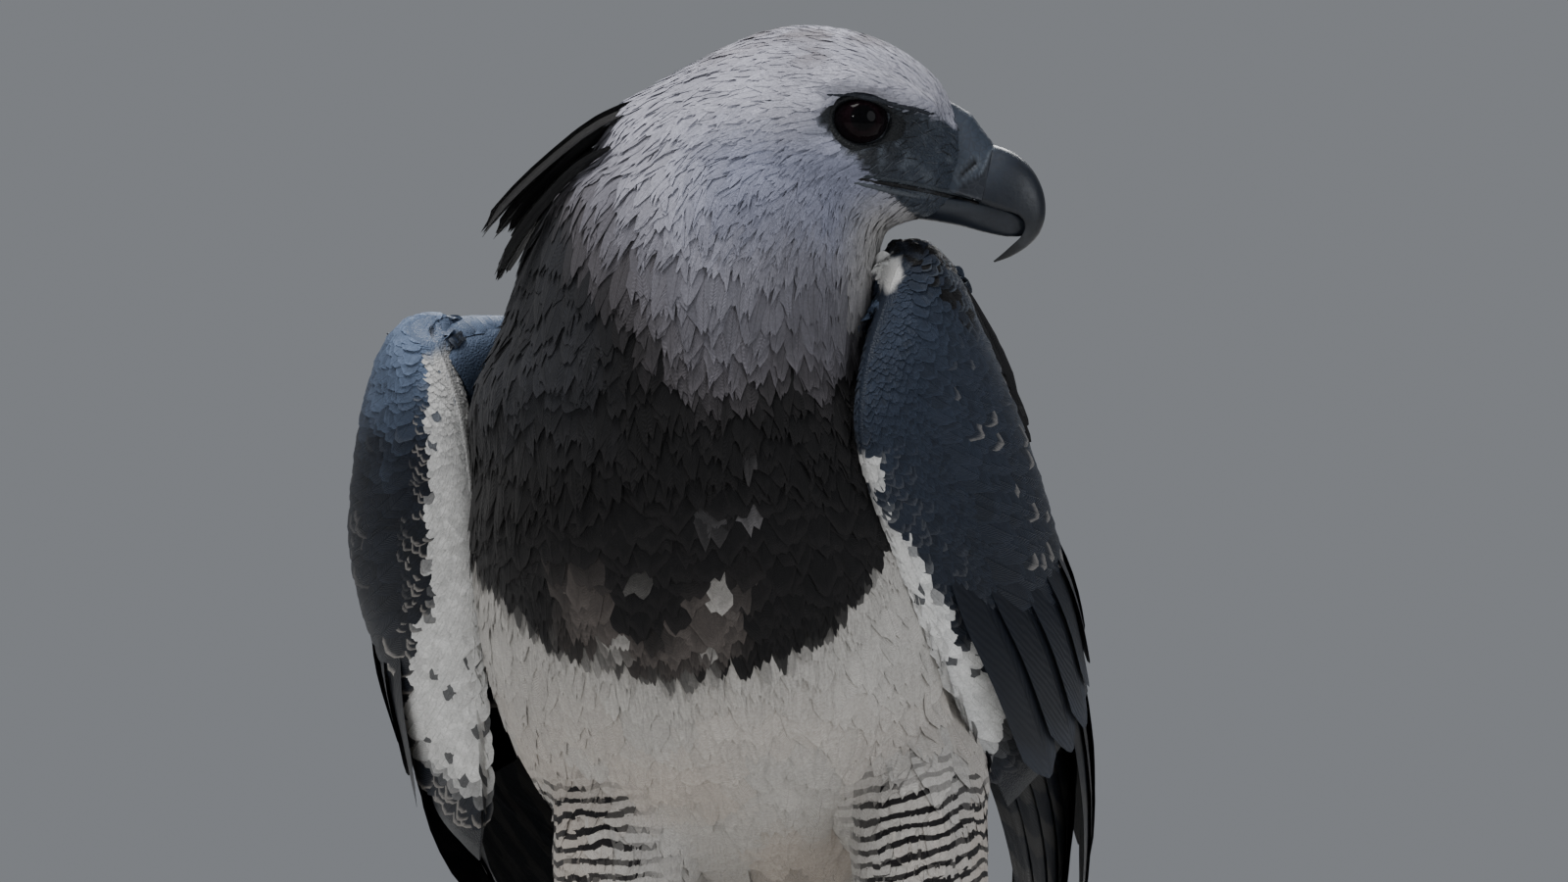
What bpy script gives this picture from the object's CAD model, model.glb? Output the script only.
import math

import bmesh
import bpy
import numpy as np
from mathutils import Matrix, Vector
from mathutils.bvhtree import BVHTree
from mathutils.kdtree import KDTree


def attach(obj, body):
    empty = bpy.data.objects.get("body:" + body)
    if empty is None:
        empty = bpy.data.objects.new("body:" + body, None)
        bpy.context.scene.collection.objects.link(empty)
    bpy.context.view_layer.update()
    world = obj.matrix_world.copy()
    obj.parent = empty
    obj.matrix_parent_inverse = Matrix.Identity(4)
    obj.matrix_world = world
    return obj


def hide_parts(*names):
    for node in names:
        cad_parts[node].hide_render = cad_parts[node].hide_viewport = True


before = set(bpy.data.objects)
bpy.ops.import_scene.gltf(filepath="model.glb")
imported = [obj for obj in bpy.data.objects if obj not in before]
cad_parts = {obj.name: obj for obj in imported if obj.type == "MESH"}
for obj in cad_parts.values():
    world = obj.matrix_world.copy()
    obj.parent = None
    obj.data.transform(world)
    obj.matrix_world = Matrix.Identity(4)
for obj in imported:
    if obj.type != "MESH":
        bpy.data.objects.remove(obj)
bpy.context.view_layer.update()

bl_info = {
    "name": "Harpy eagle",
    "version": (1, 0, 0),
    "blender": (4, 5, 0),
    "location": "View3D > Sidebar > Eagle",
    "description": "Dresses the eagle's frame with skin, feathers, eyes, bill and feet",
    "category": "Object",
}

MM = 0.001
ACROSS = np.array((1.0, 0, 0))
UPWARDS = np.array((0, 0, 1.0))
SIDES = {"left": 1, "right": -1}

# The body's own sizes, as in the solid model: metres, +Z up, the bird faces -Y.
HIP = np.array((-0.0049, -0.1932, 0.26))
YAW = math.radians(11)
ROLL = math.radians(7)
TORSO_TURN = np.array(Matrix.Rotation(-ROLL, 3, "Y") @ Matrix.Rotation(-YAW, 3, "Z"))
STANCE_TURN = np.array(Matrix.Rotation(-YAW, 3, "Z"))
STANCE_SHIFT = 0.007
HEAD_FROM_HIPS = np.array((0.039, -0.098, 0.298))
HEAD_TURN = np.array(Matrix.Rotation(math.radians(-4), 3, "Z"))
EYES = HIP + HEAD_FROM_HIPS

TORSO_STATIONS = [
    (0.1, 0.235, 0.051, 0.05, 0.045, -0.001), (0.09, 0.19, 0.082, 0.07, 0.058, -0.003),
    (0.07, 0.14, 0.101, 0.084, 0.068, -0.004), (0.035, 0.085, 0.109, 0.09, 0.078, -0.005),
    (-0.01, 0.04, 0.1085, 0.08, 0.08, -0.004), (-0.065, 0.005, 0.0965, 0.074, 0.072, -0.002),
    (-0.12, -0.02, 0.074, 0.06, 0.056, 0.0), (-0.165, -0.038, 0.054, 0.042, 0.04, 0.0),
    (-0.205, -0.056, 0.04, 0.026, 0.026, 0.0),
]
NECK_STATIONS = [
    (-0.042, -0.07, 0.15, 0.091, 0.07), (-0.0415, -0.084, 0.18, 0.0895, 0.07),
    (-0.037, -0.09, 0.205, 0.082, 0.066), (-0.033, -0.094, 0.228, 0.079, 0.061),
    (-0.028, -0.097, 0.252, 0.076, 0.056), (-0.023, -0.098, 0.272, 0.07, 0.05),
    (-0.018, -0.098, 0.285, 0.056, 0.042),
]
HEAD_STATIONS = [
    (-117, -10, -42, 18), (-106, 7, -58, 33), (-90, 17, -70, 43), (-70, 28, -75, 48),
    (-50, 37, -73, 48.5), (-30, 41.5, -66, 46), (-10, 40, -56, 42), (8, 34.5, -48.5, 37),
    (22, 26.5, -44, 29), (33, 17, -41.5, 21.5), (41, 8.5, -39, 16.5), (47, 1.5, -37, 13.5),
]
THIGH_STATIONS = [
    (0.058, -0.01, 0.3, 0.038, 0.056), (0.065, 0.03, 0.258, 0.035, 0.052),
    (0.067, 0.026, 0.215, 0.032, 0.043), (0.069, 0.004, 0.174, 0.0275, 0.034),
    (0.071, -0.016, 0.142, 0.022, 0.026), (0.073, -0.028, 0.12, 0.0185, 0.0205),
]
FACE_HOLLOWS = [
    (0.5, -1.0, 15.0, 11.5, 7.0), (24.0, -8.0, 11.0, 10.0, 3.6),
]
EYE_SIDE = 0.0278
EYE_RADIUS = 0.0125

CERE_STATIONS = [
    (28, 14, 30, -32, 14), (38, 7, 39, -34, 13.2), (46, 2, 45, -35.3, 12.6),
    (51, -4.5, 48.2, -35.8, 12.1), (56, -10.9, 51, -36.2, 11.6),
]
UPPER_BILL_STATIONS = [
    (56.4, -11.3, 51.4, -36.3, 11.3), (63, -13.8, 56.2, -37.8, 10.8),
    (69.8, -18.6, 61.2, -39.2, 9.9), (74.8, -25.5, 65.8, -40.6, 8.7), (77.6, -33.5, 68.6, -43, 7.3),
    (77.8, -42, 69.4, -46.6, 6), (75, -49.6, 67.6, -50.4, 4.7), (69.8, -55, 64.2, -53.6, 3.3),
    (63, -59, 60.2, -57.2, 1.9), (56.2, -61.4, 55.8, -60.8, 0.6),
]
LOWER_BILL_STATIONS = [
    (8, -27.0, 6, -41, 11.6), (19, -30.0, 18, -42.4, 11.2), (31, -32.8, 30, -43.8, 10.6),
    (42, -34.6, 42, -46, 9.6), (52, -36.2, 52, -48.6, 8.2), (60, -38.2, 60, -50.2, 6.6),
    (65.6, -40.8, 65, -50.4, 4.6), (70.0, -44.6, 68.8, -50, 2.4),
]

LEADING_EDGE = [
    (0.108, 0.106, 0.222), (0.116, 0.094, 0.16), (0.121, 0.06, 0.092), (0.121, 0.012, 0.024),
    (0.114, -0.06, -0.042), (0.094, -0.165, -0.1), (0.07, -0.285, -0.142),
]
BACK_EDGE = [
    (0.098, 0.08, 0.238), (0.076, 0.022, 0.208), (0.056, -0.046, 0.146), (0.046, -0.112, 0.09),
    (0.04, -0.172, 0.036), (0.04, -0.24, -0.028), (0.056, -0.3, -0.128),
]
# From the wrist to the tip of the folded wing.
WING_BULGE = [0.012, 0.036, 0.058, 0.06, 0.052, 0.038, 0.01]
WING_SPREAD = {"left": 0.86, "right": 1.04}
WING_STAND_OFF = {
    "left": [-0.01, -0.02, -0.021, -0.006, -0.001, -0.009, -0.016],
    "right": [-0.013, -0.006, 0.008, 0.021, 0.038, 0.033, 0.02],
}
WING_DROP = {
    "left": [0.0, 0.0, 0.0, 0.0, 0.0, 0.0, 0.0],
    "right": [-0.009, -0.006, -0.003, 0.0, 0.0, 0.0, 0.0],
}
# The front edge of each wing curls inwards and forwards round the breast.
WING_CURL_IN = {
    "left": [0.0, -0.0135, -0.0115, -0.018, -0.012, 0.0, 0.0],
    "right": [0.0, -0.0145, -0.0205, -0.018, -0.004, 0.0, 0.0],
}
WING_CURL_FORWARD = {
    "left": [0.0, 0.03, 0.032, 0.022, 0.01, 0.0, 0.0],
    "right": [0.0, 0.0, 0.0, 0.0, 0.0, 0.0, 0.0],
}
WING_WHITE_EDGE = {
    "left": [-0.5, -0.45, -0.2, 0.004, 0.012, 0.036, 0.08],
    "right": [0.01, 0.06, 0.08, 0.052, 0.055, 0.12, 0.2],
}
WING_FLUFF = {"left": 0.0015, "right": 0.002}
WING_HALF_THICKNESS = [0.018, 0.021, 0.017, 0.0075, 0.004, 0.003, 0.003]

# Metres that t runs along the arm.
ARM_RUN = 0.55

TAIL_ROOT = (0.0, -0.206, -0.0565)
TAIL_DROOP = math.radians(25)
TAIL_LENGTH = 0.375

ANKLE = (0.073, -0.03, 0.116)
FOOT = (0.08, 0.014, 0.017)
TARSUS_RADIUS = 0.0135
TOE_HEIGHT = 0.0112
TOE_END_RISE = 0.013
# Heading in degrees, length, radius and length of the claw.
TOES = {
    "hallux": (172, 0.056, 0.0128, 0.072),
    "inner": (-36, 0.064, 0.013, 0.06),
    "middle": (3, 0.092, 0.0122, 0.048),
    "outer": (46, 0.068, 0.0114, 0.04),
}


def torso_point(side, forward, up):
    return HIP + TORSO_TURN @ np.array((side, -forward, up))


def stance_point(side, forward, height):
    flat = STANCE_TURN @ np.array((side, -forward, 0.0))
    return np.array((HIP[0] + STANCE_SHIFT + flat[0], HIP[1] + flat[1], height))


def head_point(ahead, up, right):
    """A point on the head, in millimetres from the middle of the eye line."""
    return EYES + HEAD_TURN @ np.array((ahead, -right, up)) * MM


def head_place(points):
    """Millimetres ahead, up and to the bird's right of the middle of the eye line."""
    local = (points - EYES) @ HEAD_TURN
    return local[:, 0] / MM, local[:, 2] / MM, -local[:, 1] / MM


def torso_place(points):
    """Metres to the bird's left, forward and up from the hips."""
    local = (points - HIP) @ TORSO_TURN
    return local[:, 0], -local[:, 1], local[:, 2]


def unit(vectors):
    return vectors / np.maximum(np.linalg.norm(vectors, axis=-1, keepdims=True), 1e-12)


def ease(low, high, value):
    """0 below low, 1 above high, smooth between."""
    share = np.clip((value - low) / (high - low), 0, 1)
    return share * share * (3 - 2 * share)


def smooth_rows(rows, at):
    """Catmull-Rom rows at places from 0 to 1, one result row for each place."""
    table = np.array(rows, float)
    if table.ndim == 1:
        table = table[:, None]
    spans = len(table) - 1
    place = np.clip(np.asarray(at, float), 0, 1) * spans
    first = np.minimum(place.astype(int), spans - 1)
    t = (place - first)[..., None]
    a, b, c, d = (table[np.clip(first + step, 0, spans)] for step in (-1, 0, 1, 2))
    curve = (2 * a - 5 * b + 4 * c - d) * t**2 + (3 * b - a - 3 * c + d) * t**3
    return (2 * b + (c - a) * t + curve) / 2


def hash_noise(cells, seed):
    """A fixed random number from 0 to 1 for each whole-number cell."""
    x, y, z = cells[..., 0], cells[..., 1], cells[..., 2]
    mixed = x * 73856093 ^ y * 19349663 ^ z * 83492791 ^ seed * 2654435761
    mixed = (mixed ^ (mixed >> 13)) * 1274126177 & 0x7FFFFFFF
    return (mixed ^ (mixed >> 16)) % 65536 / 65535.0


def soft_noise(points, size, seed=1):
    """Smooth noise from 0 to 1 whose blotches are about size across."""
    scaled = points / size + 1000.0
    low = np.floor(scaled).astype(np.int64)
    share = scaled - low
    share = share * share * (3 - 2 * share)
    total = 0.0
    for corner in range(8):
        step = np.array([(corner >> axis) & 1 for axis in range(3)])
        weight = np.prod(np.where(step, share, 1 - share), axis=-1)
        total = total + weight * hash_noise(low + step, seed)
    return total


def blend(first, second, share):
    share = np.asarray(share)[..., None]
    return first * (1 - share) + np.asarray(second) * share


class EagleColours(bpy.types.PropertyGroup):
    def shade(name, about, colour):
        return bpy.props.FloatVectorProperty(
            name=name, description=about, default=colour, subtype="COLOR", min=0, max=1
        )

    head: shade("Head", "Pale grey of the crown and cheeks", (0.365, 0.366, 0.43))
    smudge: shade("Smudge", "Brown-grey clouds on the crown and neck", (0.115, 0.098, 0.098))
    hackle: shade("Hackles", "Grey of the long neck feathers", (0.11, 0.108, 0.127))
    black: shade("Breast band", "Black of the breast and nape", (0.0032, 0.0031, 0.0037))
    white: shade("Belly", "White of the belly and the thighs", (0.385, 0.37, 0.35))
    warm: shade("Belly shade", "Warm tint low on the belly", (0.41, 0.35, 0.3))
    slate: shade("Wing", "Blue black of the wings and the back", (0.0045, 0.0066, 0.012))
    shoulder: shade("Shoulder", "Blue grey bloom on top of the wings", (0.115, 0.156, 0.24))
    edge: shade("Feather edge", "Pale edge of the wing's feathers", (0.26, 0.245, 0.23))
    bar: shade("Tail bar", "Grey bars of the tail and flight feathers", (0.125, 0.122, 0.122))
    face: shade("Face skin", "Bare skin between eye and bill", (0.02, 0.024, 0.03))
    bill: shade("Bill", "Horn of the bill", (0.0062, 0.0085, 0.0135))
    cere: shade("Cere", "Skin round the nostrils", (0.022, 0.03, 0.044))
    iris: shade("Eye", "The dark eye", (0.0045, 0.0022, 0.003))
    foot: shade("Foot", "Scales of shank and toes", (0.62, 0.43, 0.1))
    claw: shade("Claw", "Horn of the claws", (0.014, 0.014, 0.016))
    floor: shade("Floor", "Plain pale floor", (0.6, 0.6, 0.59))


class EagleCoat(bpy.types.PropertyGroup):
    def size(name, about, default):
        return bpy.props.FloatProperty(
            name=name, description=about, default=default, unit="LENGTH", precision=4,
            min=0.0005, max=0.1,
        )

    skin_detail: size("Skin detail", "Size of the skin's faces", 0.003)
    face_depth: size("Face depth", "Depth of the coat on the face", 0.0009)
    head_depth: size("Head depth", "Depth of the coat on the crown", 0.0018)
    neck_depth: size("Neck depth", "Depth of the hackles", 0.0048)
    body_depth: size("Body depth", "Depth of the coat on breast and belly", 0.005)
    thigh_depth: size("Thigh depth", "Depth of the coat on the thighs", 0.0036)
    head_pitch: size("Head pitch", "Distance between the head's feathers", 0.0023)
    neck_pitch: size("Neck pitch", "Distance between the hackles", 0.0042)
    body_pitch: size("Body pitch", "Distance between the body's feathers", 0.0066)
    thigh_pitch: size("Thigh pitch", "Distance between the thighs' feathers", 0.0054)
    arm_pitch: size("Wing pitch", "Distance between the small feathers of the wing", 0.0075)


class EagleStage(bpy.types.PropertyGroup):
    def light(name, about, power):
        return bpy.props.FloatProperty(
            name=name, description=about, default=power, unit="POWER", min=0, max=1000
        )

    key: light("Key light", "Power of the large light above", 95)
    fill: light("Fill light", "Power of the light on the shaded side", 30)
    rim: light("Rim light", "Power of the light behind", 60)
    distance: bpy.props.FloatProperty(
        name="Camera distance", description="From the camera to the bird", default=4.0,
        unit="LENGTH", min=1, max=20,
    )


def colours():
    return bpy.context.scene.eagle_colours


def coat():
    return bpy.context.scene.eagle_coat


def colour(name):
    return np.array(getattr(colours(), name)[:], float)


# Meshes


def deselect():
    for obj in bpy.context.selected_objects:
        obj.select_set(False)


def make_active(obj, *others):
    deselect()
    for part in (obj, *others):
        part.hide_set(False)
        part.select_set(True)
    bpy.context.view_layer.objects.active = obj


def join(parts):
    make_active(*parts)
    bpy.ops.object.join()
    return parts[0]


def on_whole_mesh(obj, *steps):
    """Takes edit-mode steps on everything the mesh has."""
    make_active(obj)
    bpy.ops.object.mode_set(mode="EDIT")
    bpy.ops.mesh.select_all(action="SELECT")
    for step in steps:
        step()
    bpy.ops.object.mode_set(mode="OBJECT")


def melt(obj, voxel, rounds):
    """Turns joined solids into one smooth skin."""
    remesh = obj.modifiers.new("Blend", "REMESH")
    remesh.mode = "VOXEL"
    remesh.voxel_size = voxel
    soften = obj.modifiers.new("Soften", "SMOOTH")
    soften.iterations = rounds
    make_active(obj)
    for modifier in list(obj.modifiers):
        bpy.ops.object.modifier_apply(modifier=modifier.name)


def put_in_scene(name, mesh, material=None, smooth=True):
    obj = bpy.data.objects.new(name, mesh)
    bpy.context.scene.collection.objects.link(obj)
    if material:
        mesh.materials.append(material)
    if smooth:
        mesh.shade_smooth()
    return obj


def fast_mesh(name, points, faces):
    """A mesh from an array of points and one of equal-sided faces."""
    mesh = bpy.data.meshes.new(name)
    count, sides = faces.shape
    mesh.vertices.add(len(points))
    mesh.vertices.foreach_set("co", np.ascontiguousarray(points, np.float32).ravel())
    mesh.loops.add(count * sides)
    mesh.loops.foreach_set("vertex_index", faces.astype(np.int32).ravel())
    mesh.polygons.add(count)
    mesh.polygons.foreach_set("loop_start", np.arange(0, count * sides, sides, dtype=np.int32))
    mesh.update(calc_edges=True)
    mesh.validate()
    return mesh


def set_point_colour(mesh, name, values):
    rgba = np.ones((len(mesh.vertices), 4), np.float32)
    rgba[:, :3] = values
    made = mesh.attributes.new(name, "FLOAT_COLOR", "POINT")
    made.data.foreach_set("color", rgba.ravel())


def set_point_value(mesh, name, values):
    made = mesh.attributes.new(name, "FLOAT", "POINT")
    each = np.broadcast_to(values, len(mesh.vertices))
    made.data.foreach_set("value", np.ascontiguousarray(each, np.float32))


def set_uv(mesh, name, per_point):
    index = np.zeros(len(mesh.loops), np.int32)
    mesh.loops.foreach_get("vertex_index", index)
    layer = mesh.uv_layers.new(name=name)
    layer.data.foreach_set("uv", np.ascontiguousarray(per_point[index], np.float32).ravel())


def ring_faces(rings, sides, closed=True):
    """Quads between rings of the same number of points."""
    r = np.arange(rings - 1)[:, None]
    k = np.arange(sides if closed else sides - 1)[None, :]
    nxt = (k + 1) % sides
    a = r * sides + k
    b = r * sides + nxt
    return np.stack([a, b, b + sides, a + sides], -1).reshape(-1, 4)


def tube_object(name, rings, material=None):
    """A closed tube through rings of points, each end drawn in to its middle."""
    rings = np.array(rings, float)
    count, sides = rings.shape[:2]
    bm = bmesh.new()
    verts = [bm.verts.new(point) for point in rings.reshape(-1, 3)]
    for face in ring_faces(count, sides):
        bm.faces.new([verts[index] for index in face])
    for ring in (0, count - 1):
        middle = bm.verts.new(rings[ring].mean(0))
        for k in range(sides):
            bm.faces.new((middle, verts[ring * sides + k], verts[ring * sides + (k + 1) % sides]))
    bmesh.ops.recalc_face_normals(bm, faces=bm.faces)
    mesh = bpy.data.meshes.new(name)
    bm.to_mesh(mesh)
    bm.free()
    return put_in_scene(name, mesh, material)


def oval(centre, across, over, width, above, below, sides, squareness=2.0):
    angle = 2 * np.pi * np.arange(sides) / sides
    c, s = np.cos(angle), np.sin(angle)
    x = np.sign(c) * np.abs(c) ** (2 / squareness) * width
    y = np.sign(s) * np.abs(s) ** (2 / squareness) * np.where(s > 0, above, below)
    return centre + x[:, None] * np.asarray(across) + y[:, None] * np.asarray(over)


def limb_rings(points, radii, sides, depth=1.0):
    points = np.array(points, float)
    along = unit(np.gradient(points, axis=0))
    over = np.array((0.0, 0.0, 1.0)) if abs(along[0][2]) < 0.95 else np.array((0.0, 1.0, 0.0))
    rings = []
    for point, ahead, radius in zip(points, along, radii):
        over = unit(over - ahead * np.dot(over, ahead))
        high = radius * depth
        rings.append(oval(point, np.cross(ahead, over), over, radius, high, high, sides))
    return rings


def points_of(mesh, what="co"):
    found = np.zeros(len(mesh.vertices) * 3, np.float32)
    mesh.vertices.foreach_get(what, found)
    return found.reshape(-1, 3).astype(float)


def normals_of(mesh):
    return points_of(mesh, "normal")


def move_points(obj, points):
    obj.data.vertices.foreach_set("co", points.astype(np.float32).ravel())
    obj.data.update()


def plain(name, count, scale=1):
    """One of the bird's colours for each of count points or feathers."""
    return np.repeat(colour(name)[None] * scale, count, 0)


def dress(obj, material, tint, bare=None):
    """The colour of each point, its share of bare skin and the material."""
    set_point_colour(obj.data, "tint", tint)
    if bare is not None:
        set_point_value(obj.data, "bare", bare)
    obj.data.materials.append(material)


def smoothed(rows, times):
    for _ in range(times):
        rows[1:-1] = (rows[:-2] + rows[1:-1] * 2 + rows[2:]) / 4
    return rows


def finish_piece(obj, slot, *nodes):
    """The piece rides on the body and stands for the nodes named."""
    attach(obj, "root")
    if nodes:
        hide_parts(*nodes)
    return obj


# The lie of the coat


# How the coat lies on the head: millimetres ahead, up and right, and the way it points there.
HEAD_LIE = [
    (36, 13, 0, -1, 0.5, 0), (12, 32, 0, -1, 0.25, 0), (-30, 40, 0, -1, -0.05, 0),
    (-70, 27, 0, -0.9, -0.4, 0), (-100, 8, 0, -0.6, -0.8, 0), (-117, -25, 0, -0.3, -1, 0),
    (20, -46, 0, -0.9, -0.3, 0), (-5, -55, 0, -0.75, -0.6, 0), (-40, -66, 0, -0.5, -0.85, 0),
    (38, 6, 16, -1, 0.35, 0.1), (18, 12, 33, -1, 0.16, 0.15), (-4, 19, 38, -1, 0.05, 0.05),
    (-20, 2, 43, -1, -0.12, 0), (-2, -17, 38, -0.95, -0.35, 0.1), (8, -30, 30, -0.9, -0.5, 0.1),
    (-15, -34, 42, -0.8, -0.6, 0), (-50, -5, 48, -0.92, -0.4, 0), (-50, -40, 48, -0.6, -0.8, 0),
    (-80, 10, 42, -0.85, -0.55, 0), (-85, -35, 44, -0.45, -0.9, 0), (-40, 30, 30, -1, -0.1, 0.05),
]
# The same on the body: metres to the side, forward and up, and the way.
BODY_LIE = [
    (0, 0.15, 0.15, 0, -0.12, -1), (0, 0.125, 0.085, 0, -0.32, -1), (0, 0.08, 0.02, 0, -0.75, -0.8),
    (0, 0.01, -0.045, 0, -1, -0.45), (0, -0.09, -0.075, 0, -1, -0.25),
    (0, -0.19, -0.085, 0, -1, -0.42), (0, 0.03, 0.2, 0, -0.5, -0.9),
    (0, -0.03, 0.12, 0, -0.75, -0.75), (0, -0.095, 0.06, 0, -0.85, -0.6),
    (0, -0.17, 0.005, 0, -0.95, -0.35), (0.07, 0.125, 0.13, 0.1, -0.2, -1),
    (0.09, 0.08, 0.08, 0.06, -0.5, -0.9), (0.1, 0.03, 0.03, 0, -0.7, -0.75),
    (0.09, -0.04, -0.01, -0.1, -0.9, -0.45), (0.07, -0.12, -0.035, -0.2, -1, -0.3),
    (0.08, 0.02, 0.13, 0, -0.7, -0.75),
]


def lie_guides():
    """Places on the bird and the way the feathers point there."""
    spots, ways = [], []
    for sign in (1, -1):
        for ahead, up, right, *way in HEAD_LIE:
            if sign > 0 or right:
                spots.append(head_point(ahead, up, right * sign))
                ways.append(HEAD_TURN @ np.array((way[0], -way[2] * sign, way[1])))
    for height in (0.26, 0.215, 0.17):
        for turn in range(8):
            c, s = math.cos(turn * math.pi / 4), math.sin(turn * math.pi / 4)
            spots.append(HIP + np.array((-0.033 + 0.08 * c, -0.093 + 0.06 * s, height)))
            ways.append((0.12 * c, 0.06 * s, -1.0))
    for side, forward, up, *way in BODY_LIE:
        for sign in (1, -1) if side else (1,):
            spots.append(torso_point(side * sign, forward, up))
            ways.append(TORSO_TURN @ np.array((way[0] * sign, -way[1], way[2])))
    for sign in (1, -1):
        for side, forward, height, _, depth in THIGH_STATIONS:
            for turn in range(4):
                c, s = math.cos(turn * math.pi / 2), math.sin(turn * math.pi / 2)
                out = sign * (side + 0.03 * c)
                spots.append(stance_point(out, forward + depth * s, height - 0.02))
                ways.append((0.0, 0.12, -1.0))
    return np.array(spots), unit(np.array(ways))


def lie_at(points, normals, guides):
    """The way the coat points, along the surface, at each place."""
    spots, ways = guides
    gap = ((points[:, None, :] - spots[None]) ** 2).sum(-1)
    weight = 1 / (gap + 0.012**2) ** 1.8
    way = (weight[..., None] * ways[None]).sum(1)
    way -= normals * (way * normals).sum(-1, keepdims=True)
    return unit(way)


class Surface:
    """A mesh that feathers can be rooted on and laid along."""

    def __init__(self, obj, uv_name=None):
        mesh = obj.data
        mesh.calc_loop_triangles()
        count = len(mesh.loop_triangles)
        self.points = points_of(mesh)
        self.point_normals = normals_of(mesh)
        tris = np.zeros(count * 3, np.int32)
        mesh.loop_triangles.foreach_get("vertices", tris)
        self.tris = tris.reshape(-1, 3)
        self.uv = None
        if uv_name:
            loops = np.zeros(count * 3, np.int32)
            mesh.loop_triangles.foreach_get("loops", loops)
            uv = np.zeros(len(mesh.loops) * 2, np.float32)
            mesh.uv_layers[uv_name].data.foreach_get("uv", uv)
            self.uv = uv.reshape(-1, 2)[loops].reshape(-1, 3, 2).astype(float)
        self.tree = BVHTree.FromPolygons(self.points.tolist(), self.tris.tolist())
        self.tri_normals = unit(self.point_normals[self.tris].mean(1))

    def scatter(self, pitch, wanted, rng, dense=2.6):
        """Roots about pitch(points) apart, where wanted(points) is above zero."""
        a, b, c = (self.points[self.tris[:, k]] for k in range(3))
        middle = (a + b + c) / 3
        area = np.linalg.norm(np.cross(b - a, c - a), axis=1) / 2
        spacing = pitch(middle)
        chance = area / spacing**2 * (wanted(middle) > 0) * dense
        total = int(chance.sum())
        if total == 0:
            return np.zeros(0, int), np.zeros((0, 3)), np.zeros((0, 3))
        picked = rng.choice(len(area), size=total, p=chance / chance.sum())
        u, v = rng.random(total), rng.random(total)
        flip = u + v > 1
        u[flip], v[flip] = 1 - u[flip], 1 - v[flip]
        w = 1 - u - v
        spots = a[picked] * w[:, None] + b[picked] * u[:, None] + c[picked] * v[:, None]
        reach = pitch(spots) * 0.8
        keep = np.ones(total, bool)
        tree = KDTree(total)
        for index, spot in enumerate(spots):
            tree.insert(spot, index)
        tree.balance()
        for index in range(total):
            if keep[index]:
                for _, other, _ in tree.find_range(spots[index], reach[index]):
                    if other > index:
                        keep[other] = False
        keep &= wanted(spots) > 0
        return picked[keep], spots[keep], np.stack([w, u, v], 1)[keep]

    def root_uv(self, picked, share):
        return (self.uv[picked] * share[..., None]).sum(1)

    def settle(self, points):
        """The nearest place on the surface and its normal, for each point."""
        spots = np.empty_like(points)
        faces = np.empty(len(points), int)
        for index, point in enumerate(points):
            spot, _, face, _ = self.tree.find_nearest(point)
            spots[index] = spot
            faces[index] = face
        return spots, self.tri_normals[faces]

    def lay(self, roots, lengths, guides, stray, steps=4):
        """Paths of steps + 1 points from each root along the lie of the coat."""
        spots, normals = self.settle(roots)
        path, ups = [spots], [normals]
        turn_c, turn_s = np.cos(stray)[:, None], np.sin(stray)[:, None]
        for _ in range(steps):
            way = lie_at(spots, normals, guides)
            way = way * turn_c + np.cross(normals, way) * turn_s
            spots, normals = self.settle(spots + way * (lengths / steps)[:, None])
            path.append(spots)
            ups.append(normals)
        return np.stack(path, 1), np.stack(ups, 1)


# Feathers


def along_path(path, share):
    """Points at shares from 0 to 1 along each path of evenly spaced points."""
    spans = path.shape[1] - 1
    place = np.clip(share, 0, 1) * spans
    first = np.minimum(place.astype(int), spans - 1)
    t = (place - first)[..., None]
    rows = np.arange(len(path)).reshape((-1,) + (1,) * (share.ndim - 1))
    return path[rows, first] * (1 - t) + path[rows, first + 1] * t


def blade_width(share, root, tip, broad=0.35):
    """Share of full width along a feather: narrow root, broad blade and narrowed tip."""
    start = root + (1 - root) * np.sin(np.pi / 2 * np.clip(share / broad, 0, 1))
    end = 1 - (1 - tip) * np.clip((share - 0.55) / 0.45, 0, 1) ** 2.2
    return start * end


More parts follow.
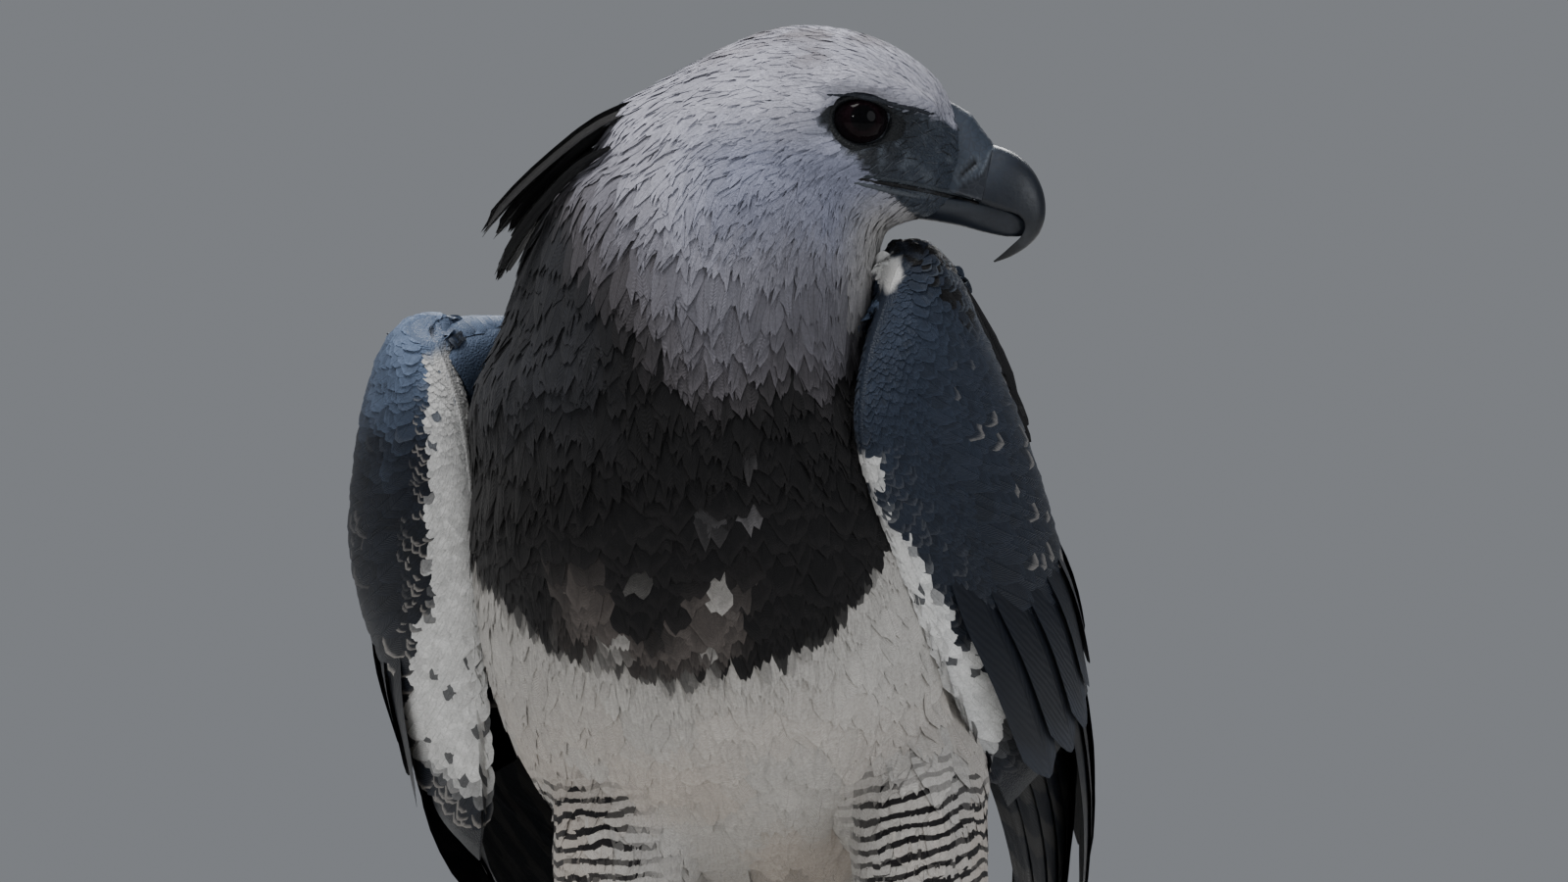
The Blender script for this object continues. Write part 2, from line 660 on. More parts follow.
def lay_feathers(name, path, ups, half, rows, columns, rng, material, **look):
    """One mesh of many feathers, each a curved vane along its path.

    look holds: lift (height along each feather) or heights at root and tip, root and tip width,
    round (how much the tip is rounded), ragged (how uneven the tip is), cup (how far the edges
    fall), roll, wave, tint, rim, bars, levels, uv, patch, spacing, straight and soft.
    """
    count = len(path)
    share = np.linspace(0, 1, rows) ** look.get("spacing", 0.85)
    s = np.linspace(-1, 1, columns)
    across = unit(np.cross(ups, unit(np.gradient(path, axis=1))))
    # The columns of a vane end unevenly, as barbs do.
    fall = look.get("round", 0.25) * np.abs(s) ** 2.4
    uneven = look.get("ragged", 0.08) * rng.random((count, columns))
    at = share[None, :, None] * (1 - fall[None, :] - uneven)[:, None, :]
    centre = along_path(path, at)
    up = unit(along_path(ups, at))
    side = unit(along_path(across, at))
    half = half[:, None, None]
    width = half * blade_width(at, look.get("root", 0.45), look.get("tip", 0.55))
    low, high = look.get("heights", (0, 0))
    height = low + (high - low) * at
    if "lift" in look:
        height = along_path(look["lift"][..., None], at)[..., 0]
    roll = look.get("roll", np.zeros(count))[:, None, None]
    offset = s[None, None, :] * width
    cup = look.get("cup", 0.18) * s[None, None, :] ** 2 * width
    swing = np.sin(3.1 * s[None, None, :] + 5 * at + rng.random((count, 1, 1)) * 6)
    wave = look.get("wave", 0.0) * half * swing * (np.abs(s) > 0.3)
    rise = height + offset * np.sin(roll) - cup + wave
    points = centre + side * (offset * np.cos(roll))[..., None] + up * rise[..., None]
    points = points.reshape(-1, 3)
    per_feather = rows * columns
    quads = ring_faces(rows, columns, closed=False)[:, ::-1]
    faces = quads[None] + (np.arange(count) * per_feather)[:, None, None]
    vane = np.empty((count, rows, columns, 2))
    vane[..., 0] = (s * 0.5 + 0.5)[None, None, :]
    vane[..., 1] = at if look.get("straight") else share[None, :, None]
    mesh = fast_mesh(name, points, faces.reshape(-1, 4))
    set_uv(mesh, "Vane", vane.reshape(-1, 2))
    spread = (vane.reshape(count, -1, 2) - 0.5) * look.get("patch", 0.003)
    baked = look["uv"][:, None, :] + spread
    set_uv(mesh, "OFBake", np.clip(baked.reshape(-1, 2), 0, 1))

    def each(values):
        return np.repeat(values, per_feather, axis=0)

    set_point_colour(mesh, "tint", each(look["tint"]))
    set_point_colour(mesh, "rim", each(look.get("rim", look["tint"])))
    set_point_value(mesh, "bars", each(look.get("bars", np.zeros(count))))
    set_point_value(mesh, "luck", each(rng.random(count)))
    if look.get("levels"):
        set_point_value(mesh, "level", bar_level(points) + each(rng.normal(0, 0.06, count)))
    obj = put_in_scene(name, mesh, material)
    soft = look.get("soft", 0.0)
    if soft:
        # Soft plumage is lit as one surface, so each vane leans to the normal under it.
        under = np.broadcast_to(up, centre.shape).reshape(-1, 3)
        lit = unit(normals_of(mesh) * (1 - soft) + under * soft)
        mesh.normals_split_custom_set_from_vertices(lit)
    return obj


# Markings of head, neck and body, used by the skin and by the coat


def face_edges(ahead):
    """Height of the upper and the lower edge of the bare face, in millimetres from the eye line."""
    stops = [-16, -13, -4, 6, 16, 29, 40, 46, 60]
    above = np.interp(ahead, stops, [1, 7.5, 9, 8.2, 6.2, 2.6, -4, 3, 12])
    stops = [-15, -12, -5, 3, 10, 24, 60]
    return above, np.interp(ahead, stops, [-2, -7, -12.5, -20.5, -28, -42, -60])


def bare_face(points):
    """1 on the bare skin between eye, cere and gape and round the eye, 0 on the feathers."""
    ahead, up, right = head_place(points)
    above, below = face_edges(ahead)
    inside = (up < above) & (up > below) & (ahead > -16) & (np.abs(right) > 3)
    return inside.astype(float)


def band_height(x):
    """Height of the lower edge of the black breast band."""
    return np.interp(
        x, [-0.16, -0.133, -0.112, -0.09, -0.047, 0.0, 0.02, 0.039, 0.06, 0.09],
        [0.395, 0.362, 0.344, 0.329, 0.314, 0.326, 0.34, 0.364, 0.395, 0.43],
    )


def bar_level(points):
    """How many bars lie below each place, in waves that rise a little to the left."""
    side, _, _ = torso_place(points)
    slope = np.where(side > 0, 0.24, 0.05) * (points[:, 0] - HIP[0])
    wave = soft_noise(points, 0.013, 21) + 0.5 * soft_noise(points, 0.006, 22) - 0.75
    return (points[:, 2] - slope) / 0.0066 + 0.85 * wave


# Dull spots on the breast: place across and up, reach and strength.
BREAST_SPOTS = ((-0.034, 0.386, 0.005, 0.6), (-0.015, 0.39, 0.006, 1), (-0.016, 0.412, 0.004, 0.5))


def body_markings(points):
    """Tint, edge colour and barring of the plumage at places on the body."""
    ahead, up, _ = head_place(points)
    side, forward, rise = torso_place(points)
    x, z = points[:, 0], points[:, 2]
    cloud = soft_noise(points, 0.03, 3)
    fine = soft_noise(points, 0.011, 5)
    count = len(points)
    smudge, white = colour("smudge"), colour("white")
    tint = plain("head", count)
    # Head: paler on cheek and forehead, clouded on the crown.
    broad = soft_noise(points, 0.019, 6)
    tint = tint * (0.82 + 0.3 * broad)[:, None]
    # Below the eye the plumage is in shade, and darkens where it thins out to bare skin.
    cheek = ease(8, -22, up) * ease(-95, -50, ahead) * ease(-75, -45, up)
    tint = tint * (1 - cheek[:, None] * (0.47, 0.44, 0.36))
    above, below = face_edges(ahead)
    thin = ease(-13, 1, np.minimum(up - below, ahead + 18)) * ease(3, -3, up - above)
    thin = np.clip(0.85 * thin * (0.8 + 0.9 * (fine - 0.4)), 0, 1)
    tint = blend(tint, (0.075, 0.084, 0.108), thin)
    crown = ease(12, 30, up) * ease(25, -5, ahead)
    tint = blend(tint, smudge, 0.62 * crown * ease(0.38, 0.8, fine))
    tint = blend(tint, smudge, 0.3 * ease(0.55, 0.8, cloud) * ease(-20, -60, ahead))
    # Neck: grey hackles that darken downwards, sooner at the nape.
    stops = [-0.125, -0.105, -0.085, -0.045, 0.0, 0.035]
    edge_z = np.interp(x, stops, [0.56, 0.522, 0.486, 0.446, 0.44, 0.444])
    edge_z = edge_z + 0.02 * (cloud - 0.5) + 0.01 * (fine - 0.5)
    down = edge_z + 0.055 - z
    tint = blend(tint, colour("hackle"), ease(-0.045, 0.03, down))
    tint = blend(tint, smudge * 0.35, ease(0.015, 0.065, down) * 0.8)
    dark = ease(0.04, 0.066, down)
    nape = ease(-0.06, -0.095, x) * ease(0.4, 0.44, z) * (0.4 + 0.6 * cloud)
    tint = blend(tint, blend(plain("black", count), (0.017, 0.018, 0.022), nape), dark)
    throat = ease(0.018, 0.042, x) * ease(0.455, 0.47, z) * ease(0.535, 0.505, z)
    tint = blend(tint, white, throat * 0.85)
    # Belly and flanks: white below the breast band, and dark behind.
    stops = [-0.056, -0.038, -0.02, 0.005, 0.04, 0.085, 0.14]
    spine = np.interp(rise, stops, [-0.205, -0.165, -0.12, -0.065, -0.01, 0.035, 0.07])
    behind = ease(-0.01, -0.045, forward - spine)
    band_z = band_height(x)
    belly = ease(band_z + 0.003, band_z - 0.005, z + 0.01 * (fine - 0.5))
    warmth = 0.5 * ease(0.33, 0.26, z) * ease(0.35, 0.7, cloud)
    pale = blend(plain("white", count), colour("warm"), warmth)
    pale = pale * (0.93 + 0.1 * fine)[:, None]
    tint = blend(tint, pale, belly)
    # Mottled patch on the lower breast, with a few white flecks above it.
    patch = ease(0.045, 0.03, np.abs(x + 0.056))
    patch = patch * ease(0.022, 0.01, np.abs(z - 0.338 - 0.25 * np.abs(x + 0.05)))
    mottle = patch * ease(0.4, 0.6, cloud + 0.2 * fine) * (1 - belly)
    tint = blend(tint, (0.05, 0.043, 0.04), mottle)
    light = ease(0.62, 0.72, soft_noise(points * (1, 1, 0.45), 0.01, 9))
    tint = blend(tint, white * 0.55, patch * light * (1 - belly) * 0.9)
    for spot_x, spot_z, reach, share in BREAST_SPOTS:
        near = ease(reach, reach * 0.4, np.hypot((x - spot_x), (z - spot_z) * 0.6))
        tint = blend(tint, (0.05, 0.048, 0.05), near * share * ease(0.3, 0.5, fine))
    low = ease(0.47, 0.455, z)
    tint = blend(tint, colour("slate"), behind * low)
    # Thighs: white with fine black bars; under the tail as the belly.
    bars = ease(0.28, 0.258, z) * ease(0.035, 0.06, np.abs(side))
    bars = bars * (1 - behind * ease(0.2, 0.26, z))
    rim = blend(tint * 1.12, tint * 1.8 + (0.006, 0.005, 0.0045), (1 - belly) * low)
    return tint, np.clip(rim, 0, 0.9), bars


# Skin


def loft_torso():
    share = np.linspace(0, 1, 25)
    rings = []
    for row, a, b in zip(*(smooth_rows(TORSO_STATIONS, share + step) for step in (0, 0.02, -0.02))):
        forward, up, width, above, below, side = row
        along = unit(np.array((0, b[0] - a[0], a[1] - b[1])))
        over = TORSO_TURN @ np.array((0, along[2], -along[1]))
        centre = torso_point(side, forward, up)
        rings.append(oval(centre, TORSO_TURN @ ACROSS, over, width, above, below, 36, 2.15))
    return tube_object("torso loft", rings)


def loft_neck():
    rings = []
    for x, y, z, width, depth in smooth_rows(NECK_STATIONS, np.linspace(0, 1, 21)):
        rings.append(oval(HIP + (x, y, z), ACROSS, (0, 1, 0), width, depth, depth, 36))
    return tube_object("neck loft", rings)


def loft_head():
    rings = []
    for ahead, top, bottom, width in smooth_rows(HEAD_STATIONS, np.linspace(0, 1, 51)):
        across, over = HEAD_TURN @ np.array((0, 1.0, 0)), HEAD_TURN @ UPWARDS
        half = (top - bottom) / 2 * MM
        centre = head_point(ahead, (top + bottom) / 2, 0)
        rings.append(oval(centre, across, over, width * MM, half, half, 36, 2.2))
    return tube_object("head loft", rings)


def loft_brow(sign):
    places = ((-19, 17.5, 34.5), (-6, 17.2, 36.8), (9, 14.2, 35.2), (22, 9.2, 29), (35, 3, 19))
    path = [head_point(ahead, up, sign * right) for ahead, up, right in places]
    return tube_object("brow loft", limb_rings(path, [0.0045, 0.0064, 0.0068, 0.006, 0.003], 14))


def loft_thigh(sign):
    share = np.linspace(0, 1, 15)
    rings = []
    for row, b, a in zip(*(smooth_rows(THIGH_STATIONS, share + step) for step in (0, 0.02, -0.02))):
        centre, below, above = (stance_point(sign * at[0], at[1], at[2]) for at in (row, b, a))
        along = unit(below - above)
        across = STANCE_TURN @ ACROSS
        across = unit(across - along * np.dot(across, along))
        over = np.cross(across, along)
        rings.append(oval(centre, across, over, row[3], row[4], row[4], 26))
    return tube_object("thigh loft", rings)


def coat_depth(points):
    """Depth of the coat over the skin at places on the bird."""
    ahead, up, right = head_place(points)
    far = np.sqrt((ahead - 30) ** 2 + (up + 8) ** 2 + (np.abs(right) * 0.6) ** 2)
    depths = [coat().face_depth, coat().head_depth, coat().neck_depth, coat().body_depth]
    depth = np.interp(far, [25, 60, 110, 160], depths)
    depth = depth * (1 - bare_face(points) * ease(-1, 4, ahead))
    thigh = ease(0.24, 0.2, points[:, 2])
    return depth * (1 - thigh) + coat().thigh_depth * thigh


def hollow_face(points):
    """Sinks the eyes and the bare skin in front of them below the brow."""
    ahead, up, right = head_place(points)
    depth = np.zeros(len(points))
    for at_ahead, at_up, reach_ahead, reach_up, amount in FACE_HOLLOWS:
        far = ((ahead - at_ahead) / reach_ahead) ** 2 + ((up - at_up) / reach_up) ** 2
        depth += amount * MM * np.exp(-(far**1.6))
    depth = np.minimum(depth, np.maximum(0, (np.abs(right) * MM - 0.01) * 0.5))
    # The brow stands out over the eye.
    ridge = np.interp(ahead, [-18, 0, 16, 30], [15.5, 13.5, 10.0, 6.5])
    brow = 1.7 * MM * np.exp(-(((up - ridge) / 3.2) ** 2))
    depth -= brow * ease(-24, -10, ahead) * ease(38, 22, ahead) * (np.abs(right) > 10)
    depth[(np.abs(ahead) > 60) | (np.abs(up) > 40)] = 0
    shift = np.zeros_like(points)
    shift[:, 1] = np.sign(right) * depth
    return points + shift @ HEAD_TURN.T


class EAGLE_OT_skin(bpy.types.Operator):
    """Model the skin of head, neck, body and thighs as one piece under the coat"""

    bl_idname = "eagle.skin"
    bl_label = "Skin"

    def execute(self, context):
        parts = [loft_torso(), loft_neck(), loft_head()]
        skin = join(parts + [loft(sign) for loft in (loft_brow, loft_thigh) for sign in (1, -1)])
        skin.name = skin.data.name = "skin"
        melt(skin, coat().skin_detail, 6)
        points = hollow_face(points_of(skin.data))
        move_points(skin, points)
        # The skin sinks under the cere at the front of the face.
        ahead, _, _ = head_place(points)
        sink = coat_depth(points) + 0.0042 * ease(30, 46, ahead)
        points = points - normals_of(skin.data) * sink[:, None]
        move_points(skin, points)
        skin.data.shade_smooth()
        while skin.data.uv_layers:
            skin.data.uv_layers.remove(skin.data.uv_layers[0])
        skin.data.uv_layers.new(name="OFBake")
        on_whole_mesh(skin, lambda: bpy.ops.uv.smart_project(angle_limit=1.15, island_margin=0.004))
        tint, _, _ = body_markings(points)
        ahead, up, _ = head_place(points)
        bare = bare_face(points)
        towards_cere = ease(11, 34, np.hypot(ahead, up)) * ease(-16, 26, ahead)
        face = blend(plain("face", len(points), 0.45), colour("cere") * 0.85, towards_cere)
        skin.data.materials.clear()
        dress(skin, skin_material(), blend(tint * 0.78, face, bare), bare)
        finish_piece(skin, "white_feather", "torso", "neck", "thigh_left", "thigh_right", "head")
        return {"FINISHED"}


# Finishes


class Value:
    """The output of a node, which sums and steps can follow."""

    def __init__(self, nodes, socket):
        self.nodes, self.socket = nodes, socket

    def then(self, operation, *others):
        return self.nodes.maths(operation, self, *others)

    def __add__(self, other):
        return self.then("ADD", other)

    def __sub__(self, other):
        return self.then("SUBTRACT", other)

    def __mul__(self, other):
        return self.then("MULTIPLY", other)

    def fitted(self, scale, offset):
        return self.then("MULTIPLY_ADD", scale, offset)

    def step(self, low, high):
        """0 below low and 1 above high, smooth between."""
        inputs = {"Value": self, "From Min": low, "From Max": high}
        return self.nodes.value("MapRange", "Result", inputs, interpolation_type="SMOOTHSTEP")


class Nodes:
    """Adds nodes to one shader tree."""

    def __init__(self, tree):
        self.tree = tree

    def put(self, value, socket):
        """Links a value to a socket, or sets a number or a colour on it."""
        if isinstance(value, Value):
            self.tree.links.new(value.socket, socket)
        elif isinstance(value, (int, float)):
            socket.default_value = value
        else:
            socket.default_value = (*[float(part) for part in value], 1)

    def add(self, kind, inputs=(), **settings):
        node = self.tree.nodes.new(kind)
        for key, setting in settings.items():
            setattr(node, key, setting)
        for key, value in dict(inputs).items():
            self.put(value, node.inputs[key])
        return node

    def value(self, kind, output, inputs=(), **settings):
        return Value(self, self.add("ShaderNode" + kind, inputs, **settings).outputs[output])

    def maths(self, operation, *values):
        return self.value("Math", 0, enumerate(values), operation=operation)

    def mix(self, share, first, second, kind="MIX"):
        inputs = {0: share, 6: first, 7: second}
        return self.value("Mix", 2, inputs, data_type="RGBA", blend_type=kind)

    def group(self, tree, **inputs):
        """The outputs of a group by name."""
        placed = self.add("ShaderNodeGroup", {}, node_tree=tree)
        for key, value in inputs.items():
            self.put(value, placed.inputs[key])
        return {socket.name: Value(self, socket) for socket in placed.outputs}

    def tint(self, name="tint"):
        return self.value("Attribute", "Color", attribute_name=name)

    def point(self, name):
        return self.value("Attribute", "Fac", attribute_name=name)

    def bump(self, height, distance, strength):
        inputs = {"Distance": distance, "Strength": strength, "Height": height}
        return self.value("Bump", "Normal", inputs)


def shader_group(name, inputs, outputs, build):
    """A group made once: build gets its nodes and inputs and gives the value of each output."""
    if name in bpy.data.node_groups:
        return bpy.data.node_groups[name]
    group = bpy.data.node_groups.new(name, "ShaderNodeTree")
    for label, default in inputs.items():
        kind = "NodeSocketVector" if default is None else "NodeSocketFloat"
        socket = group.interface.new_socket(name=label, in_out="INPUT", socket_type=kind)
        if default is not None:
            socket.default_value = default
    for label in outputs:
        group.interface.new_socket(name=label, in_out="OUTPUT", socket_type="NodeSocketFloat")
    nodes = Nodes(group)
    given = nodes.add("NodeGroupInput")
    values = build(nodes, {socket.name: Value(nodes, socket) for socket in given.outputs})
    nodes.add("NodeGroupOutput", zip(outputs, values))
    return group


FULL_TURN = 6.2832


def barb_lines(nodes, given):
    across, along = (nodes.value("SeparateXYZ", axis, {0: given["Vane"]}) for axis in (0, 1))
    across = (across - 0.5).then("ABSOLUTE")
    inputs = {"Scale": 5.0, "Detail": 2.0, "Vector": given["Vane"], "W": given["Luck"] * 40.0}
    noise = nodes.value("TexNoise", 0, inputs, noise_dimensions="4D")
    uneven = (noise - 0.5) * 0.1
    place = along - across * (given["Slant"] * -0.35)
    wave = ((place + uneven) * given["Barbs"] * FULL_TURN).then("SINE")
    lines = wave.fitted(0.5, 0.5)
    shaft = nodes.maths("SUBTRACT", 1.0, across.step(0.01, 0.045))
    edge = (across + uneven).step(0.34, 0.5)
    tip = (along + uneven * 1.6).step(0.8, 0.97)
    level = given["Level"] + uneven * 0.9 + given["Luck"] * given["Drift"]
    swing = (level.fitted(given["Bars"], given["Phase"]) * FULL_TURN).then("SINE")
    return lines + shaft * 1.5, lines, edge, tip, shaft, swing.step(0.1, 0.42)


def barb_group():
    """Lines of the barbs, the shaft and the pale edge of a vane, from its own map."""
    inputs = dict(
        Vane=None, Barbs=26.0, Slant=1.4, Bars=3.0, Phase=0.0, Drift=0.18, Luck=0.5, Level=0.0
    )
    outputs = ("Height", "Lines", "Edge", "Tip", "Shaft", "Bar")
    return shader_group("Feather barbs", inputs, outputs, barb_lines)


def blotch_group():
    """Soft blotches and fine grain from the piece's own place."""

    def build(nodes, given):
        place = nodes.value("TexCoord", "Object")
        for size in ("Size", "Grain"):
            inputs = {"Detail": 3.0, "Vector": place, "Scale": given[size]}
            yield nodes.value("TexNoise", 0, inputs)

    return shader_group("Soft blotches", dict(Size=60.0, Grain=700.0), ("Blotch", "Grain"), build)


def scale_group():
    """Small raised scales with dark seams."""

    def build(nodes, given):
        inputs = {"Vector": nodes.value("TexCoord", "Object"), "Scale": given["Scale"]}
        far = nodes.value("TexVoronoi", "Distance", inputs, feature="DISTANCE_TO_EDGE")
        return far.step(0.0, 0.3), nodes.maths("SUBTRACT", 1.0, far.step(0.02, 0.1))

    return shader_group("Fine scales", dict(Scale=300.0), ("Height", "Seam"), build)


SPECULAR = "Specular IOR Level"
BLACK = (0.0, 0.0, 0.0)


def new_material(name, values, build):
    """A material made once: build gets its nodes and gives further values of the shader."""
    if name in bpy.data.materials:
        return bpy.data.materials[name]
    made = bpy.data.materials.new(name)
    made.use_nodes = True
    nodes = Nodes(made.node_tree)
    shader = made.node_tree.nodes["Principled BSDF"]
    for key, value in {**values, **build(nodes)}.items():
        nodes.put(value, shader.inputs[key])
    return made


def feather_material(
    name, roughness=0.62, barbs=26.0, bars=3.0, edge=0.35, tip=0.5, shaft=0.25, lines=0.22,
    dark_bar=(0.014, 0.013, 0.014), sheen=0.04, slant=1.4, drift=0.18, specular=0.15, levels=False,
):
    """Vanes with barbs, a shaft, pale edges and bars, tinted feather by feather."""

    def build(nodes):
        vane = nodes.value("UVMap", 0, uv_map="Vane")
        level = nodes.point("level") if levels else nodes.value("SeparateXYZ", 1, {0: vane})
        barb = nodes.group(
            barb_group(), Vane=vane, Luck=nodes.point("luck"), Level=level,
            Barbs=barbs, Slant=slant, Bars=bars, Phase=0.0, Drift=drift,
        )
        grain = nodes.group(blotch_group(), Size=90.0, Grain=900.0)["Grain"].fitted(0.7, 0.65)
        mask = (barb["Edge"] * edge).then("MAXIMUM", barb["Tip"] * tip)
        shade = nodes.mix(mask, nodes.tint(), nodes.tint("rim"))
        shade = nodes.mix(barb["Lines"] * lines, shade, BLACK)
        shade = nodes.mix(barb["Shaft"] * shaft, shade, BLACK)
        grey = nodes.value("CombineXYZ", 0, {axis: grain for axis in range(3)})
        shade = nodes.mix(1.0, shade, grey, "MULTIPLY")
        shade = nodes.mix(barb["Bar"] * nodes.point("bars"), shade, dark_bar)
        return {"Base Color": shade, "Normal": nodes.bump(barb["Height"], 0.0002, 0.6)}

    sheens = {"Sheen Weight": sheen, "Sheen Roughness": 0.5}
    return new_material(name, {"Roughness": roughness, SPECULAR: specular, **sheens}, build)


def skin_material():
    def build(nodes):
        scales = nodes.group(scale_group(), Scale=620.0)
        blotch = nodes.group(blotch_group(), Size=140.0, Grain=900.0)
        bare = nodes.point("bare")
        pale = blotch["Blotch"].step(0.48, 0.68) * bare
        shade = nodes.mix(pale, nodes.tint(), (0.045, 0.054, 0.068))
        shade = nodes.mix(scales["Seam"] * (bare * 0.45), shade, (0.012, 0.013, 0.016))
        height = scales["Height"] + blotch["Grain"]
        return {"Base Color": shade, "Normal": nodes.bump(height, 0.0003, 0.7)}

    return new_material("skin under the coat", {"Roughness": 0.55, SPECULAR: 0.2}, build)


def horn_material(name, base, roughness, polish, grain=55.0, marks=(0.04, 0.046, 0.057)):
    """Worn horn: fine streaks, faint scratches and a soft polish. No base stands for the tint."""

    def build(nodes):
        blotch = nodes.group(blotch_group(), Size=grain, Grain=520.0)
        tint = nodes.tint() if base is None else base
        shade = nodes.mix(blotch["Blotch"].step(0.5, 0.72) * 0.35, tint, marks)
        shade = nodes.mix(blotch["Grain"].step(0.45, 0.75) * 0.25, shade, BLACK)
        return {
            "Base Color": shade,
            "Roughness": blotch["Grain"].fitted(0.3, roughness - 0.14),
            "Normal": nodes.bump(blotch["Grain"] + blotch["Blotch"], 0.00025, 0.5),
        }

    values = {SPECULAR: 0.32, "Coat Weight": polish, "Coat Roughness": 0.25}
    return new_material(name, values, build)


def scaled_material(name, roughness, scale, seam_colour, depth):
    """Scaly skin of the cere, the shanks and the toes."""

    def build(nodes):
        scales = nodes.group(scale_group(), Scale=scale)
        blotch = nodes.group(blotch_group(), Size=70.0, Grain=800.0)
        shade = nodes.mix(blotch["Blotch"].step(0.45, 0.75) * 0.35, nodes.tint(), seam_colour)
        return {
            "Base Color": nodes.mix(scales["Seam"] * 0.55, shade, seam_colour),
            "Roughness": blotch["Grain"].fitted(0.25, roughness - 0.12),
            "Normal": nodes.bump(scales["Height"] + blotch["Grain"] * 0.4, depth, 0.8),
        }

    return new_material(name, {SPECULAR: 0.25}, build)


def eye_material():
    def build(nodes):
        blotch = nodes.group(blotch_group(), Size=700.0, Grain=1600.0)
        rays = blotch["Blotch"].step(0.45, 0.65) * 0.35
        return {"Base Color": nodes.mix(rays, nodes.tint(), BLACK)}

    return new_material("wet dark eye", {"Roughness": 0.06, SPECULAR: 0.05}, build)


def floor_material():
    def build(nodes):
        patches = nodes.group(blotch_group(), Size=3.0, Grain=40.0)["Blotch"] * 0.12
        return {"Base Color": nodes.mix(patches, colour("floor"), (0.5, 0.5, 0.5))}

    return new_material("pale floor", {"Roughness": 0.7}, build)


# Coats


def surface_of(name):
    return Surface(bpy.data.objects[name], "OFBake")


def tract_coat(
    name, slot, wanted, pitch, length, half, heights, rows, columns, seed, material, **look
):
    """Roots feathers on the skin where wanted and lays them along the coat's lie."""
    skin = surface_of("skin")
    rng = np.random.default_rng(seed)
    picked, roots, share = skin.scatter(pitch, wanted, rng)
    count = len(roots)
    lengths = length(roots) * rng.uniform(0.86, 1.12, count)
    path, ups = skin.lay(roots, lengths, lie_guides(), rng.normal(0, look["stray"], count))
    tint, rim, bars = body_markings(along_path(path, np.full(count, 0.75)))
    vary = rng.uniform(1 - look["vary"], 1 + look["vary"], (count, 1))
    depth = np.maximum(coat_depth(roots + ups[:, 0] * 0.002)[:, None], 0.0009)
    low, high = heights
    each = low + (high - low) * np.linspace(0, 1, path.shape[1])[None, :] ** 0.8
    lift = each * depth * rng.uniform(0.85, 1.15, (count, 1))
    obj = lay_feathers(
        name, path, ups, half(roots) * rng.uniform(0.9, 1.1, count), rows, columns, rng, material,
        lift=lift, tint=tint * vary, rim=np.clip(rim * vary, 0, 0.95), bars=bars,
        uv=skin.root_uv(picked, share), roll=rng.normal(0, look["twist"], count), **look,
    )
    return finish_piece(obj, slot)


def face_distance(points):
    """Millimetres from the base of the bill, near side or far side."""
    ahead, up, right = head_place(points)
    return np.sqrt((ahead - 34) ** 2 + (up + 6) ** 2 + (np.abs(right) * 0.6) ** 2)


def by_distance(reach, values, scale=1):
    """A measure that changes with the distance from the bill."""
    return lambda points: scale * np.interp(face_distance(points), reach, values)


def on_head(points):
    ahead, up, _ = head_place(points)
    return ((up + 0.35 * (ahead + 40) * (ahead < -40) > -62) & (points[:, 2] > 0.485)).astype(float)


def on_neck(points):
    _, forward, rise = torso_place(points)
    return ((1 - on_head(points)) * (rise - 0.3 * (forward - 0.085) > 0.15)).astype(float)


def on_thigh(points):
    return (points[:, 2] < 0.243).astype(float) * (torso_place(points)[1] > -0.13)


def on_body(points):
    return (1 - on_head(points)) * (1 - on_neck(points)) * (1 - on_thigh(points))


# Dark bars that run on from feather to feather.
WAVES = dict(bars=1.0, drift=0.0, dark_bar=(0.008, 0.007, 0.008), levels=True)


class EAGLE_OT_head_coat(bpy.types.Operator):
    """Lay the short feathers of the head, smallest round the bill and the eyes"""

    bl_idname = "eagle.head_coat"
    bl_label = "Head feathers"

    def execute(self, context):
        pitch = by_distance([18, 45, 90, 150], [0.62, 0.85, 1.15, 1.5], coat().head_pitch)
        length = by_distance([16, 30, 55, 90, 140], [0.0045, 0.008, 0.0135, 0.02, 0.028])
        half = by_distance([16, 40, 80, 140], [0.0007, 0.0011, 0.0018, 0.0028])
        material = feather_material(
            "head feathers", 0.8, barbs=7.0, edge=0.25, tip=0.3, lines=0.15, shaft=0.08, slant=3.2
        )
        for name, part, seed in (("head_coat_near", -1, 11), ("head_coat_far", 1, 12)):

            def wanted(points, sign=part):
                feathered = on_head(points) * (1 - bare_face(points))
                return feathered * (head_place(points)[2] * sign < 0)

            tract_coat(
                name, "grey_feather", wanted, pitch, length, half, (0.14, 0.8), 5, 5, seed,
                material, ragged=0.45, round=0.3, tip=0.25, root=0.5, cup=0.07, stray=0.2,
                vary=0.09, soft=0.72, twist=0.02,
            )
        return {"FINISHED"}


class EAGLE_OT_neck_coat(bpy.types.Operator):
    """Lay the long hackles of the neck"""

    bl_idname = "eagle.neck_coat"
    bl_label = "Hackles"

    def execute(self, context):
        pitch = by_distance([100, 200], [0.95, 1.25], coat().neck_pitch)
        length = by_distance([70, 110, 160, 220], [0.02, 0.028, 0.036, 0.038])
        half = by_distance([70, 120, 200], [0.0036, 0.005, 0.0066])
        material = feather_material(
            "hackles", 0.78, barbs=15.0, edge=0.35, tip=0.35, lines=0.26, shaft=0.22, slant=2.6
        )
        tract_coat(
            "neck_coat", "grey_feather", on_neck, pitch, length, half, (0.1, 0.95), 7, 7, 21,
            material, ragged=0.26, round=0.34, tip=0.34, root=0.5, cup=0.22, stray=0.15, vary=0.17,
            soft=0.6, twist=0.05,
        )
        return {"FINISHED"}


